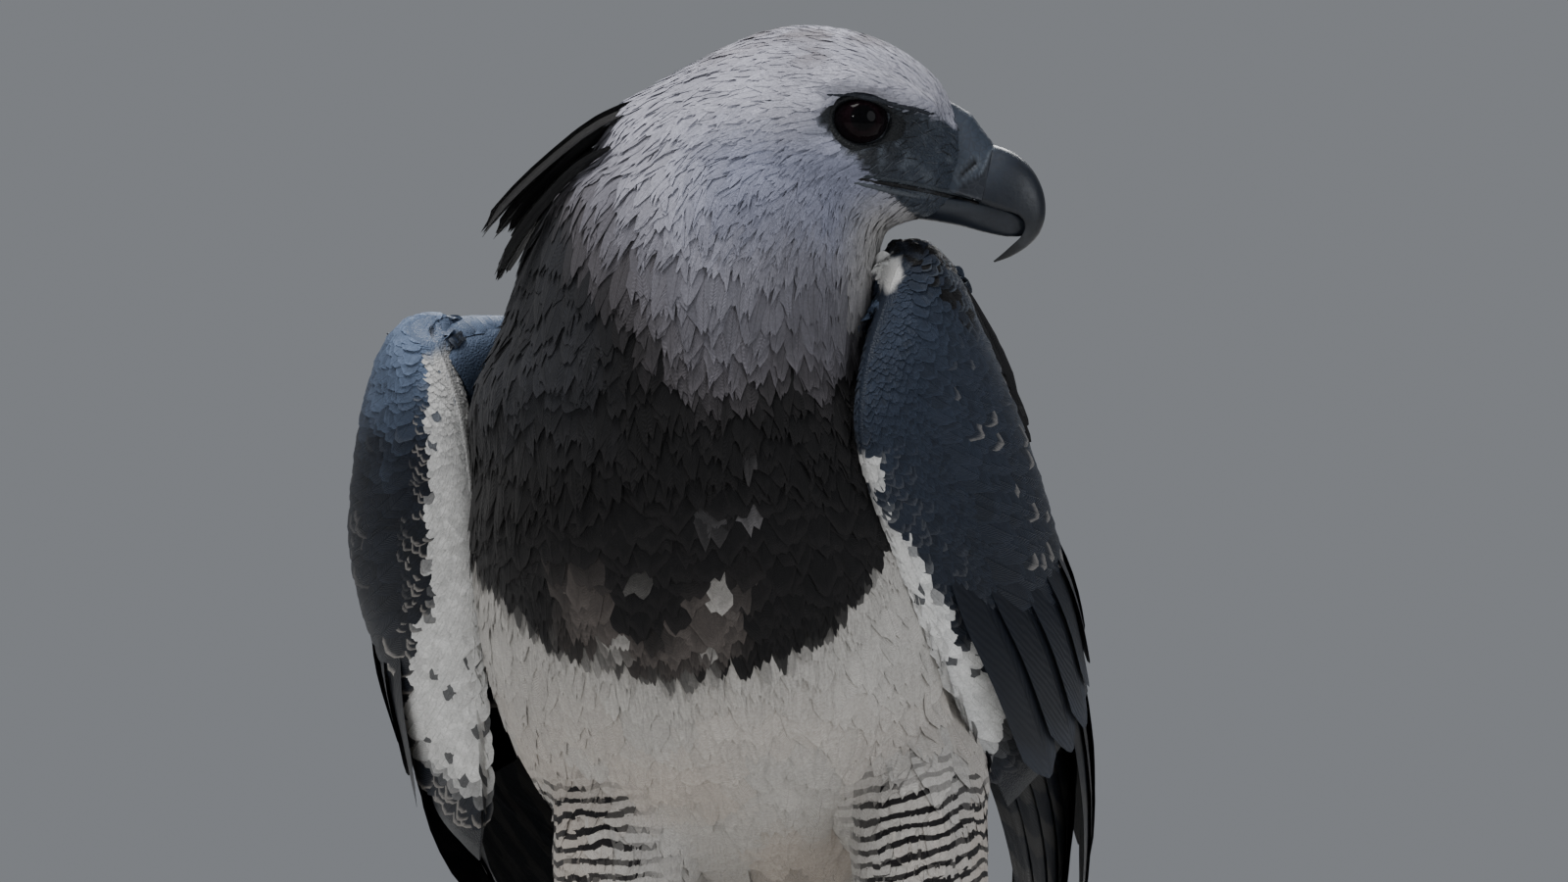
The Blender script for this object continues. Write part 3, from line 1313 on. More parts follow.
class EAGLE_OT_body_coat(bpy.types.Operator):
    """Lay the feathers of breast, belly, back and flanks"""

    bl_idname = "eagle.body_coat"
    bl_label = "Body feathers"

    def execute(self, context):
        def fineness(points):
            """Near 1 along the ragged lower edge of the breast band and in its mottled patch."""
            above = points[:, 2] - band_height(points[:, 0])
            return ease(-0.008, 0.004, above) * ease(0.046, 0.026, above)

        def pitch(points):
            return coat().body_pitch * (1 - 0.42 * fineness(points))

        def length(points):
            return 0.034 - 0.01 * fineness(points)

        def half(points):
            broad = np.interp(points[:, 2], [0.25, 0.36, 0.42], [0.0086, 0.0096, 0.0102])
            return broad * (1 - 0.62 * fineness(points))

        material = feather_material(
            "body feathers", 0.75, barbs=24.0, edge=0.4, lines=0.16, shaft=0.06, slant=1.8, **WAVES
        )
        for name, part, slot, seed in (
            ("body_coat_front", 1, "white_feather", 31), ("body_coat_back", -1, "black_feather", 32)
        ):

            def wanted(points, sign=part):
                _, forward, rise = torso_place(points)
                stops = [-0.056, 0.005, 0.085, 0.19]
                spine = np.interp(rise, stops, [-0.205, -0.065, 0.035, 0.09])
                return on_body(points) * (sign * (forward - spine - 0.01) > 0)

            tract_coat(
                name, slot, wanted, pitch, length, half, (0.06, 0.62), 6, 9, seed, material,
                ragged=0.2, round=0.34, tip=0.8, root=0.6, cup=0.07, stray=0.1, vary=0.045,
                spacing=0.75, soft=0.8, twist=0.03, levels=True,
            )
        return {"FINISHED"}


def thigh_rows(name, sign, seed, material):
    """Rows of feathers round one thigh, so that their bars run round it."""
    skin = surface_of("skin")
    rng = np.random.default_rng(seed)
    pitch = coat().thigh_pitch
    upwards = np.array(THIGH_STATIONS[::-1])
    starts = []
    for row, height in enumerate(np.arange(0.262, 0.114, -pitch * 1.22)):
        side, forward, _, width, depth = (np.interp(height, upwards[:, 2], k) for k in upwards.T)
        count = int(2 * math.pi * (width + depth) / 2 / pitch)
        for k in range(count):
            angle = 2 * math.pi * (k + 0.5 * (row % 2) + 0.25 * rng.random()) / count
            level = height + 0.0016 * math.sin(3 * angle + row * 0.4) + rng.normal(0, 0.0004)
            out = sign * (side + width * 1.3 * math.cos(angle))
            starts.append(stance_point(out, forward + depth * 1.3 * math.sin(angle), level))
    starts = np.array(starts)
    roots, _ = skin.settle(starts)
    near = np.linalg.norm(roots - starts, axis=1) < 0.022
    roots = roots[near & (torso_place(roots)[0] * sign > -0.004)]
    picked = np.array([skin.tree.find_nearest(root)[2] for root in roots])
    count, heights = len(roots), roots[:, 2]
    length = np.interp(heights, [0.12, 0.2], [0.018, 0.024]) * rng.uniform(0.985, 1.015, count)
    path, ups = skin.lay(roots, length, lie_guides(), rng.normal(0, 0.04, count))
    tint, rim, bars = body_markings(along_path(path, np.full(count, 0.75)))
    bars = bars * np.clip(rng.normal(0.95, 0.12, count), 0, 1)
    depth = coat().thigh_depth * rng.uniform(0.9, 1.1, (count, 1))
    lift = depth * (0.08 + 0.85 * np.linspace(0, 1, path.shape[1])[None] ** 0.8)
    half = np.interp(heights, [0.12, 0.2], [0.0048, 0.0066]) * rng.uniform(0.9, 1.1, count)
    obj = lay_feathers(
        name, path, ups, half, 7, 7, rng, material, lift=lift, tint=tint, rim=rim, bars=bars,
        uv=skin.uv[picked].mean(1), ragged=0.07, round=0.1, tip=0.9, root=0.7, cup=0.08,
        soft=0.8, levels=True,
    )
    return finish_piece(obj, "white_feather")


class EAGLE_OT_thigh_coat(bpy.types.Operator):
    """Lay the barred feathers of the thighs"""

    bl_idname = "eagle.thigh_coat"
    bl_label = "Thigh feathers"

    def execute(self, context):
        material = feather_material(
            "thigh feathers", 0.75, barbs=14.0, edge=0.2, tip=0.2, lines=0.14, shaft=0.05,
            slant=2.0, **WAVES,
        )
        for name, sign, seed in (("thigh_coat_left", 1, 41), ("thigh_coat_right", -1, 42)):
            thigh_rows(name, sign, seed, material)
        return {"FINISHED"}


# Wings


def wing_middle(side, t, v):
    """The folded wing's middle surface in torso measures, for arrays of t and v."""
    lead = smooth_rows(LEADING_EDGE, t)
    back = smooth_rows(BACK_EDGE, t)
    bulge = smooth_rows(WING_BULGE, t)[..., 0] * WING_SPREAD[side]
    swell = 4 * v * (1 - v) * bulge
    place = lead + (back - lead) * v[..., None]
    x = place[..., 0] + smooth_rows(WING_STAND_OFF[side], t)[..., 0] * (1 - 0.6 * v)
    u = place[..., 2] + smooth_rows(WING_DROP[side], t)[..., 0]
    curl = (1 - v) ** 3
    x = x + smooth_rows(WING_CURL_IN[side], t)[..., 0] * curl
    ahead = place[..., 1] + smooth_rows(WING_CURL_FORWARD[side], t)[..., 0] * curl
    out = SIDES[side] * (x + 0.95 * swell)
    return np.stack([out, -(ahead + 0.1 * swell), u + 0.28 * swell], -1)


def wing_frame(side, t, v):
    """Point and outward normal of the middle surface, by t (wrist to tip) and v (front to back)."""
    t, v = np.broadcast_arrays(np.asarray(t, float), np.asarray(v, float))
    step = 0.01
    ahead, behind = np.minimum(t + step, 1), np.maximum(t - step, 0)
    along = wing_middle(side, ahead, v) - wing_middle(side, behind, v)
    over = wing_middle(side, t, v + step) - wing_middle(side, t, v - step)
    # In torso measures with Y backwards the cross product points outwards on the left side.
    out = unit(np.cross(along, over)) * SIDES[side]
    middle = wing_middle(side, t, v)
    flip = np.where(out[..., :1] * SIDES[side] < 0, -1.0, 1.0)
    return HIP + middle @ TORSO_TURN.T, (out * flip) @ TORSO_TURN.T


def foil(v):
    share = np.clip(v, 0, 1)
    return (2.6 * np.sqrt(share) - 1.2 * share - 1.36 * share**2) / 0.98


def arm_surface(side, t, w, spare=0.0):
    """The feathered arm: w runs from -1 inside the back edge over 0 in front to 1 outside."""
    t, w = np.broadcast_arrays(np.asarray(t, float), np.asarray(w, float))
    v = w * w
    share = np.clip((t + 0.02) / 0.12, 0, 1)
    swell = np.sqrt(1 - (1 - share) ** 2)
    shrunk = 0.5 + (v - 0.5) * (0.3 + 0.7 * swell)
    inside = np.clip(t, 0, 1)
    middle, out = wing_frame(side, inside, shrunk)
    half = smooth_rows(WING_HALF_THICKNESS, inside)[..., 0] * np.maximum(foil(v), 0.02)
    half = half * (0.05 + 0.95 * swell)
    # Loose feathers along the inner front edge puff the arm out towards the breast.
    fluff = WING_FLUFF[side] * ease(0.1, -0.12, w) * ease(-1.0, -0.45, w)
    fluff = fluff * ease(0.0, 0.1, t) * ease(0.62, 0.48, t)
    half = np.maximum(half - spare, 0.0004) + fluff
    return middle + out * (np.sign(w) * half)[..., None]


def arm_frame(side, t, w):
    """Point and outward normal on the arm."""
    t, w, step = np.asarray(t, float), np.asarray(w, float), 0.012
    along = arm_surface(side, t + step, w) - arm_surface(side, t - step, w)
    over = arm_surface(side, t, w + step) - arm_surface(side, t, w - step)
    normal = unit(np.cross(along, over))
    _, out = wing_frame(side, np.clip(t, 0, 1), w**2)
    sense = np.sign((normal * out).sum(-1, keepdims=True)) * np.sign(w)[..., None]
    # Most normals that point outwards decide for all.
    flip = -1.0 if np.median(np.where(sense == 0, 1, sense)) < 0 else 1.0
    return arm_surface(side, t, w), normal * flip


def wing_markings(side, t, w, points):
    """Blue-black outside with a pale bloom at the shoulder, white along the inner leading edge."""
    white = np.array((0.6, 0.6, 0.595))
    cloud = soft_noise(points, 0.016, 7)
    fine = soft_noise(points, 0.007, 8)
    far, near = (0.55, 0.14) if side == "left" else (0.19, 1.0)
    bloom = ease(far, -0.03, t + 0.12 * (cloud - 0.5)) * near
    tint = blend(plain("slate", len(points)), colour("shoulder"), bloom)
    tint = tint * (0.8 + 0.45 * cloud)[:, None]
    stops = [0.0, 0.03, 0.1, 0.2, 0.3, 0.42, 0.52]
    edge = np.interp(t, stops, WING_WHITE_EDGE[side])
    ragged = 0.035 * (cloud - 0.5) + 0.03 * (fine - 0.5)
    inside = w * np.abs(w) - edge + ragged
    pale = ease(0.004, -0.004, inside) * ease(0.54, 0.5, t + 0.05 * (cloud - 0.5))
    pale = pale * ease(0.0, 0.03, t) * ease(-0.75, -0.45, w)
    chance = np.modf(np.abs(np.sin(points @ (1271.0, 2311.0, 3181.0))) * 977.0)[0]
    fleck = ease(0.958, 0.966, chance) * ease(0.0, -0.012, inside) * ease(-0.47, -0.42, w)
    tint = blend(tint, white, pale * (1 - 0.85 * fleck))
    if side == "left":
        # A white patch where the shoulder meets the throat.
        far = np.hypot((points[:, 0] - 0.0433) / 0.0075, (points[:, 2] - 0.4925) / 0.007)
        patch = ease(1.15, 0.85, far + 0.5 * (fine - 0.5))
        # Black loose feathers lie along the top of this shoulder.
        stops = [0.036, 0.0517, 0.0622, 0.077, 0.0845]
        top = np.interp(points[:, 0], stops, [0.508, 0.4975, 0.49, 0.4697, 0.457])
        above = points[:, 2] - top
        capped = ease(-0.0015, 0.0015, above + 0.006 * (fine - 0.5)) * ease(0.15, 0.11, t)
        strand = ease(0.35, 0.65, 0.5 + 0.5 * np.sin(above * 2 * np.pi / 0.0078 + 5 * cloud))
        loose = blend(colour("black") * 1.3, (0.016, 0.021, 0.033), strand)
        tint = blend(tint, loose, capped)
        tint = blend(tint, white * 1.1, patch)
        pale = np.maximum(pale, patch)
    # Dark feathers next to the white band have bright rims, and a few others pale crescents.
    near = ease(0.065, 0.025, inside) * (1 - pale) * ease(0.04, 0.1, t) * ease(0.45, 0.5, chance)
    lucky = ease(0.84, 0.88, chance) * ease(0.35, 0.4, w)
    near_share, lucky_share = (0.12, 0.6) if side == "left" else (0.9, 0.2)
    crescent = np.maximum(near * near_share, lucky * ease(0.1, 0.25, t) * lucky_share)
    rim = blend(tint * 1.35 + 0.001, colour("edge"), crescent * (1 - pale))
    rim = blend(rim, tint, pale)
    if side == "left":
        rim = blend(rim, (0.055, 0.066, 0.085), capped * ease(0.5, 0.6, chance) * (1 - pale))
    return tint, rim, pale


def wing_uv(side, across, down):
    """The left wing has the left half of the map, and the right wing the other."""
    return np.stack([across + (0.5 if side == "right" else 0.0), down], 1)


def arm_coat(side, material, seed):
    """Rows of small feathers wrapped round the arm, larger towards its end."""
    rng = np.random.default_rng(seed)
    ts, ws, lengths, halves, kinds = [], [], [], [], []
    # Large feathers outside and inside, and small ones round the front edge.
    for low, high, scale in ((-0.97, -0.44, 1.0), (0.36, 0.97, 1.0), (-0.48, 0.4, 0.56)):
        t = -0.018
        row = 0
        while t < 0.54:
            growth = np.interp(t, [-0.02, 0.1, 0.3, 0.5], [0.62, 0.8, 1.15, 1.45])
            pitch = coat().arm_pitch * growth * scale
            fine = np.linspace(low, high, 300)
            ring = arm_surface(side, np.full(300, t), fine)
            run = np.concatenate([[0], np.cumsum(np.linalg.norm(np.diff(ring, axis=0), axis=1))])
            count = max(4, int(run[-1] / pitch))
            marks = (np.arange(count) + (0.5 if row % 2 else 0.0)) / count * run[-1]
            w = np.interp(marks, run, fine)
            ts.append(np.full(count, t) + rng.normal(0, 0.0035 * scale, count))
            ws.append(w + rng.normal(0, 0.008, count))
            lengths.append(np.full(count, pitch * 3.3))
            halves.append(np.full(count, pitch * 0.8))
            kinds.append(np.full(count, scale < 1))
            t += pitch * 0.72 / 0.52
            row += 1
    t, w, length, half, small = (np.concatenate(part) for part in (ts, ws, lengths, halves, kinds))
    share = np.linspace(0, 1, 6)
    # Feathers run down the arm, and drift a little to the back edge outside.
    drift = np.where(w > 0, 0.1, 0.04) * np.sign(w)
    path_t = t[:, None] + share[None] * (length / ARM_RUN)[:, None]
    path_w = np.clip(w[:, None] + share[None] * (drift * length / 0.03)[:, None], -1.0, 1.0)
    path, ups = arm_frame(side, path_t, path_w)
    tint, rim, _ = wing_markings(side, t + length, w, path[:, -1])
    vary = rng.uniform(0.82, 1.2, (len(t), 1))
    uv = wing_uv(side, 0.02 + 0.46 * (w * 0.5 + 0.5), 0.02 + 0.95 * (t + 0.02) / 0.6)
    depth = np.interp(t, [0, 0.2, 0.5], [0.0022, 0.0032, 0.004]) * np.where(small, 0.55, 1.0)
    lift = depth[:, None] * (0.1 + 0.95 * share[None] ** 0.8)
    lift = lift * rng.uniform(0.85, 1.15, (len(t), 1)) - 0.002
    tint, rim = tint * vary, np.clip(rim, 0, 0.9)
    # The larger feathers stand for the arm, and the small ones only add to them.
    for name, part, nodes in (("wing_coat", ~small, [f"wing_{side}"]), ("wing_front", small, [])):
        obj = lay_feathers(
            f"{name}_{side}", path[part], ups[part], half[part], 7, 7, rng, material,
            lift=lift[part], tint=tint[part], rim=rim[part], uv=uv[part],
            round=0.34, ragged=0.1, tip=0.76, root=0.6, cup=0.12, spacing=0.8, soft=0.62,
        )
        finish_piece(obj, "slate_feather", *nodes)


def arm_skin(side):
    """The arm under its coat, closed at both ends."""
    t = np.concatenate([np.linspace(-0.019, 0.1, 14), np.linspace(0.12, 0.6, 30)])
    grid_t, grid_w = np.meshgrid(t, np.linspace(-1, 1, 61), indexing="ij")
    obj = tube_object(f"wing_skin_{side}", arm_surface(side, grid_t, grid_w, 0.0026))
    flat_t, flat_w = (*grid_t.ravel(), t[0], t[-1]), (*grid_w.ravel(), 0, 0)
    tint, _, _ = wing_markings(side, np.array(flat_t), np.array(flat_w), points_of(obj.data))
    dress(obj, skin_material(), tint * 0.7, 0)
    finish_piece(obj, "slate_feather")


def flight_row(
    name, side, count, roots, tips, half, lifts, seed, material, shade, bars,
    lean=0.0, stack=0.0, rows=14,
):
    """Parallel long feathers that overlap like tiles along the folded wing."""
    rng = np.random.default_rng(seed)
    share = np.linspace(0, 1, count)[:, None]
    (a, b), (c, d) = np.array(roots), np.array(tips)
    start, end = a[None] + (b - a)[None] * share, c[None] + (d - c)[None] * share
    end[:, 0] = np.minimum(end[:, 0] + rng.normal(0, 0.006, count), 1.0)
    along = np.linspace(0, 1, 11)
    t = start[:, :1] + (end[:, :1] - start[:, :1]) * along[None]
    v = start[:, 1:] + (end[:, 1:] - start[:, 1:]) * along[None]
    path, ups = wing_frame(side, t, v)
    thinned = 1 - np.clip(foil(np.maximum(v, 0.38)), 0.1, 1)
    thinned = thinned * smooth_rows(WING_HALF_THICKNESS, t)[..., 0]
    lift = smooth_rows(lifts, along)[:, 0][None] - thinned + stack * np.arange(count)[:, None]
    tint = plain("slate", count, shade) * rng.uniform(0.8, 1.25, (count, 1))
    obj = lay_feathers(
        f"{name}_{side}", path, ups, np.full(count, half), rows, 9, rng, material, lift=lift,
        tint=tint, rim=tint * 2.2 + 0.003, bars=np.full(count, bars),
        uv=wing_uv(side, 0.02 + 0.46 * (v[:, 0] * 0.5 + 0.5), 0.02 + 0.95 * t[:, 0] / 1.1),
        roll=np.full(count, -SIDES[side] * lean), round=0.16, ragged=0.02, tip=0.85,
        root=0.55, cup=0.1, spacing=0.9,
    )
    finish_piece(obj, "black_feather")


class EAGLE_OT_wings(bpy.types.Operator):
    """Feather both folded wings: small coverts, greater coverts, secondaries and primaries"""

    bl_idname = "eagle.wings"
    bl_label = "Wings"

    def execute(self, context):
        small = feather_material(
            "wing coverts", 0.55, barbs=16.0, edge=0.22, tip=0.9, lines=0.2, shaft=0.1,
            sheen=0.02, specular=0.13,
        )
        large = feather_material(
            "flight feathers", 0.46, barbs=90.0, bars=6.0, edge=0.12, tip=0.35, lines=0.15,
            shaft=0.0, dark_bar=colour("bar") * 0.14, sheen=0.01, slant=1.0, specular=0.06,
        )
        for number, side in enumerate(SIDES):
            arm_skin(side)
            arm_coat(side, small, 51 + number)
            # The right wing's white band is broader, so its rows begin farther back.
            front = 0.1 if side == "left" else 0.23
            flight_row(
                "primaries", side, 9, ((0.42, front), (0.44, 0.36)), ((0.9, 0.05), (1.0, 0.8)),
                0.015, (-0.01, -0.01, -0.0095), 61 + number, large, 0.5, 0.9, stack=0.0012,
            )
            flight_row(
                "secondaries", side, 11, ((0.42, 0.34), (0.4, 0.95)), ((0.86, 0.24), (0.72, 0.97)),
                0.0165, (0.0042, 0.0042, 0.0042), 63 + number, large, 0.65, 0.55, 0.12,
            )
            flight_row(
                "greater_coverts", side, 11, ((0.32, front), (0.31, 0.93)),
                ((0.6, front), (0.55, 0.95)), 0.015, (0.0085, 0.012, 0.009), 65 + number, small,
                0.9, 0.0, 0.13, rows=10,
            )
        return {"FINISHED"}


# The front of each shoulder, upwards: side, forward and up on the body, then t and w on the arm.
SHOULDER_FRONT = {
    "left": [
        ((0.078, 0.03, 0.185), (0.1, -0.42)),
        ((0.074, 0.0, 0.215), (0.045, -0.3)),
        ((0.066, -0.02, 0.235), (0.01, -0.05)),
    ],
    "right": [
        ((0.072, 0.078, 0.155), (0.14, -0.36)),
        ((0.072, 0.062, 0.187), (0.08, -0.24)),
        ((0.068, 0.03, 0.218), (0.028, -0.1)),
        ((0.062, -0.01, 0.226), (0.0, 0.28)),
    ],
}


# Where along the mantle the feathers part.
RIDGE = 0.21


def mantle_feathers(name, path, ups, half, rows, rng, lift, tint, rim, uv, **look):
    obj = lay_feathers(
        name, path, ups, half, rows, 9, rng, feather_material("wing coverts"), lift=lift,
        tint=tint, rim=rim, uv=uv, round=0.3, root=0.6, **look,
    )
    finish_piece(obj, "black_feather" if name == "scapular_tips" else "slate_feather")


def mantle_shade(a, b):
    """Bloom on the front of the shoulder, slate on the back and black towards the wing."""
    bloom = ease(0.48, 0.22, a) * ease(-0.1, 0.35, b) * 0.7
    tint = blend(plain("slate", a.size), colour("shoulder"), bloom)
    return blend(tint, colour("black"), ease(0.2, 0.5, b) * ease(0.4, 0.5, a) * 0.6)


def mantle_skin(sheet, side):
    """The skin under the mantle's feathers."""
    a, b = np.meshgrid(np.linspace(-0.03, 1.0, 44), np.linspace(0.0, 1.0, 15), indexing="ij")
    place, out = sheet(a, b)
    points = (place - out * 0.0012).reshape(-1, 3)
    name = f"mantle_skin_{side}"
    obj = put_in_scene(name, fast_mesh(name, points, ring_faces(44, 15, closed=False)))
    dress(obj, skin_material(), mantle_shade(a.ravel(), b.ravel()) * 0.8, 0)
    finish_piece(obj, "slate_feather")


def shoulder_tips():
    """The black tips that stand off behind the left wing."""
    rng = np.random.default_rng(57)
    share = np.linspace(0, 1, 7)
    count = 11
    t = np.linspace(0.075, 0.21, count)[:, None] + 0.15 * share[None]
    v = 0.62 - 0.1 * share[None] + np.zeros((count, 1))
    path, ups = wing_frame("left", t, v)
    stand = 0.0075 * np.sin(np.pi * np.linspace(0.18, 0.86, count))[:, None]
    stand = stand * share[None] ** 1.3 * rng.uniform(0.8, 1.15, (count, 1))
    lift = smooth_rows(WING_HALF_THICKNESS, t)[..., 0] * 0.75 + stand
    tint = plain("black", count, 1.2) * rng.uniform(0.8, 1.2, (count, 1))
    half = 0.0095 * np.sin(np.pi * np.linspace(0.22, 0.8, count))
    mantle_feathers(
        "scapular_tips", path, ups, half, 12, rng, lift, tint, tint * 1.8 + 0.003,
        np.stack([np.linspace(0.05, 0.45, count), np.full(count, 0.3)], 1), ragged=0.07, tip=0.7,
        cup=0.15, roll=0.75 + rng.normal(0, 0.12, count),
    )


def mantle_sheet(skin, side):
    """The saddle from the middle of the back to the outside of one wing, by two shares."""
    sign = SIDES[side]
    inner, outer, leans = [], [], []

    def stop(hit, far, out):
        spot, normal = (np.array(part) for part in hit[:2])
        inner.append(spot + normal * 0.0025)
        outer.append(far)
        leans.append(unit(normal + out))

    for (out, forward, up), (t, w) in SHOULDER_FRONT[side]:
        hit = skin.tree.find_nearest(Vector(torso_point(sign * out, forward, up)))
        on_arm, off_arm = arm_frame(side, np.array([[t]]), np.array([[w]]))
        stop(hit, on_arm[0, 0] + off_arm[0, 0] * 0.0035, (0, -0.4, 0.9))
    for a in np.linspace(0.05, 1, 9):
        up = np.interp(a, [0, 0.5, 1], [0.25 if side == "left" else 0.24, 0.13, -0.01])
        reach = sign * np.interp(a, [0, 0.2, 1], [0.052, 0.034, 0.012])
        start = torso_point(reach, -0.45, up)
        ahead = unit(torso_point(reach, 0.0, up) - start)
        hit = skin.tree.ray_cast(Vector(start), Vector(ahead))
        if hit[0] is None:
            hit = skin.tree.find_nearest(Vector(start + ahead * 0.36))
        t = np.interp(a, [0, 1], [0.0, 0.5])
        v = np.interp(a, [0, 0.15, 1], [0.4, 0.68, 0.84])
        _, out = wing_frame(side, t, v)
        stop(hit, arm_surface(side, t, math.sqrt(v)) + out * 0.001, out)
    inner, outer, leans = (smoothed(np.array(rows), 2) for rows in (inner, outer, leans))

    def run_on(rows, end, near):
        """How far a border runs near one of its ends."""
        return smooth_rows(rows, end) - smooth_rows(rows, near)

    def place(a, b):
        shares = np.clip(a, 0, 1)
        b = b[..., None]
        ones = np.ones(a.shape)
        swell = 4 * np.clip(b, 0, 1) * (1 - np.clip(b, 0, 1))
        crown = np.interp(a, [0.1, 0.4], [0.006, 0.012])[..., None]
        back = run_on(inner, ones, ones * 0.9) * np.maximum(a - 1, 0)[..., None] * 10
        front = run_on(inner, ones * 0, ones * 0.1) * (1 - b)
        front = front + run_on(outer, ones * 0, ones * 0.1) * b
        middle = smooth_rows(inner, shares) * (1 - b) + smooth_rows(outer, shares) * b
        middle = middle + smooth_rows(leans, shares) * swell * crown
        return middle + back + front * np.maximum(-a, 0)[..., None] * 4

    def framed(a, b):
        step = 0.01
        along = place(a + step, b) - place(a - step, b)
        over = place(a, b + step) - place(a, b - step)
        normal = unit(np.cross(along, over)) * -sign
        lean = smooth_rows(leans, np.clip(a, 0, 1))
        flip = np.where((normal * lean).sum(-1, keepdims=True) < 0, -1.0, 1.0)
        return place(a, b), normal * flip

    return framed


class EAGLE_OT_mantle(bpy.types.Operator):
    """Lay the feathers between the back and both wings, and the loose tips behind the left wing"""

    bl_idname = "eagle.mantle"
    bl_label = "Mantle"

    def execute(self, context):
        skin = surface_of("skin")
        for number, side in enumerate(SIDES):
            rng = np.random.default_rng(55 + number)
            sheet = mantle_sheet(skin, side)
            rows = 33
            paths, places = [], []
            share = np.linspace(0, 1, 6)
            for row in range(rows):
                a = row / (rows - 1)
                across = 15 + int(3 * a)
                # In front of the ridge feathers point down the shoulder, behind it down the back.
                run = (0.095 + 0.06 * a) * (-1.0 if a < RIDGE else 1.0)
                limit = 1.0 + 0.07 * float(ease(0.3, 0.5, a))
                for k in range(across):
                    b = (k + 0.5 * (row % 2) + rng.normal(0, 0.12)) / (across - 0.5)
                    b = np.clip(b, -0.04, 1.0)
                    line = []
                    for at in share:
                        along = a * 0.98 + run * at + rng.normal(0, 0.001)
                        line.append((along, min(b + 0.1 * at * (b - 0.3), limit)))
                    paths.append(line)
                    places.append((a, b))
            paths = np.array(paths)
            path, ups = sheet(paths[..., 0], paths[..., 1])
            a, b = np.array(places).T
            count = len(a)
            tint = mantle_shade(a, b) * rng.uniform(0.8, 1.2, (count, 1))
            flat = 0.3 + 0.7 * ease(0.02, 0.16, np.abs(a - RIDGE))[:, None]
            flat = flat * (1 - 0.8 * ease(0.65, 0.9, b) * ease(0.5, 0.35, a))[:, None]
            lift = (0.0006 + 0.0042 * flat * share[None] ** 0.8) * rng.uniform(0.8, 1.2, (count, 1))
            half = np.interp(a, [0, 0.3, 1], [0.007, 0.0095, 0.011]) * rng.uniform(0.9, 1.1, count)
            mantle_feathers(
                f"mantle_{side}", path, ups, half, 8, rng, lift, tint,
                tint * 1.5 + (0.006, 0.0055, 0.005),
                wing_uv(side, 0.03 + 0.44 * np.clip(b, 0, 1), 0.03 + 0.94 * a),
                ragged=0.06, tip=0.8, cup=0.1, soft=0.3,
            )
            mantle_skin(sheet, side)
        shoulder_tips()
        return {"FINISHED"}


# Tail and crest


def row_uv(count):
    return np.stack([np.linspace(0.06, 0.94, count), np.full(count, 0.5)], 1)


def tail_point(out, along, lift):
    side, forward, up = TAIL_ROOT
    c, s = math.cos(TAIL_DROOP), math.sin(TAIL_DROOP)
    return torso_point(side + out, forward - (c * along - s * lift), up - (s * along - c * lift))


def tail_coverts(rng):
    """Rings of small feathers round the root of the tail, pale below."""
    paths, ups, roots, below = [], [], [], []
    for ring in range(7):
        width = 0.038 - 0.0006 * ring
        height = np.interp(ring, [0, 3, 6], [0.021, 0.015, 0.0075])
        drop = np.interp(ring, [0, 3, 6], [0.0215, 0.017, 0.015])
        for k in range(18):
            angle = 2 * math.pi * (k + 0.5 * (ring % 2)) / 18
            out = width * math.cos(angle)
            lift = (height if math.sin(angle) > 0 else drop) * math.sin(angle)
            normal = tail_point(out / width, 0, lift / height) - tail_point(0, 0, 0)
            path = []
            for s in np.linspace(0, 1, 5):
                along = -0.01 + 0.017 * ring + 0.046 * s
                path.append(tail_point(out * (1 - 0.1 * s), along, lift * (1 - 0.25 * s)))
            paths.append(path)
            ups.append([unit(normal)] * 5)
            below.append(math.sin(angle) < -0.25)
            roots.append((0.1 + 0.8 * k / 18, 0.1 + 0.1 * ring))
    count, below = len(paths), np.array(below)
    tint = np.where(below[:, None], colour("white") * 0.9, colour("slate"))
    tint = tint * rng.uniform(0.85, 1.15, (count, 1))
    coverts = lay_feathers(
        "tail_coverts", np.array(paths), np.array(ups), np.full(count, 0.0098), 7, 7, rng,
        feather_material("body feathers"), heights=(0.0, 0.0035), tint=tint,
        rim=np.clip(tint * 1.3, 0, 0.9), bars=np.where(below, 0.35, 0.0), uv=np.array(roots),
        round=0.3, ragged=0.1, tip=0.7, root=0.5, cup=0.15, levels=True,
    )
    finish_piece(coverts, "black_feather")


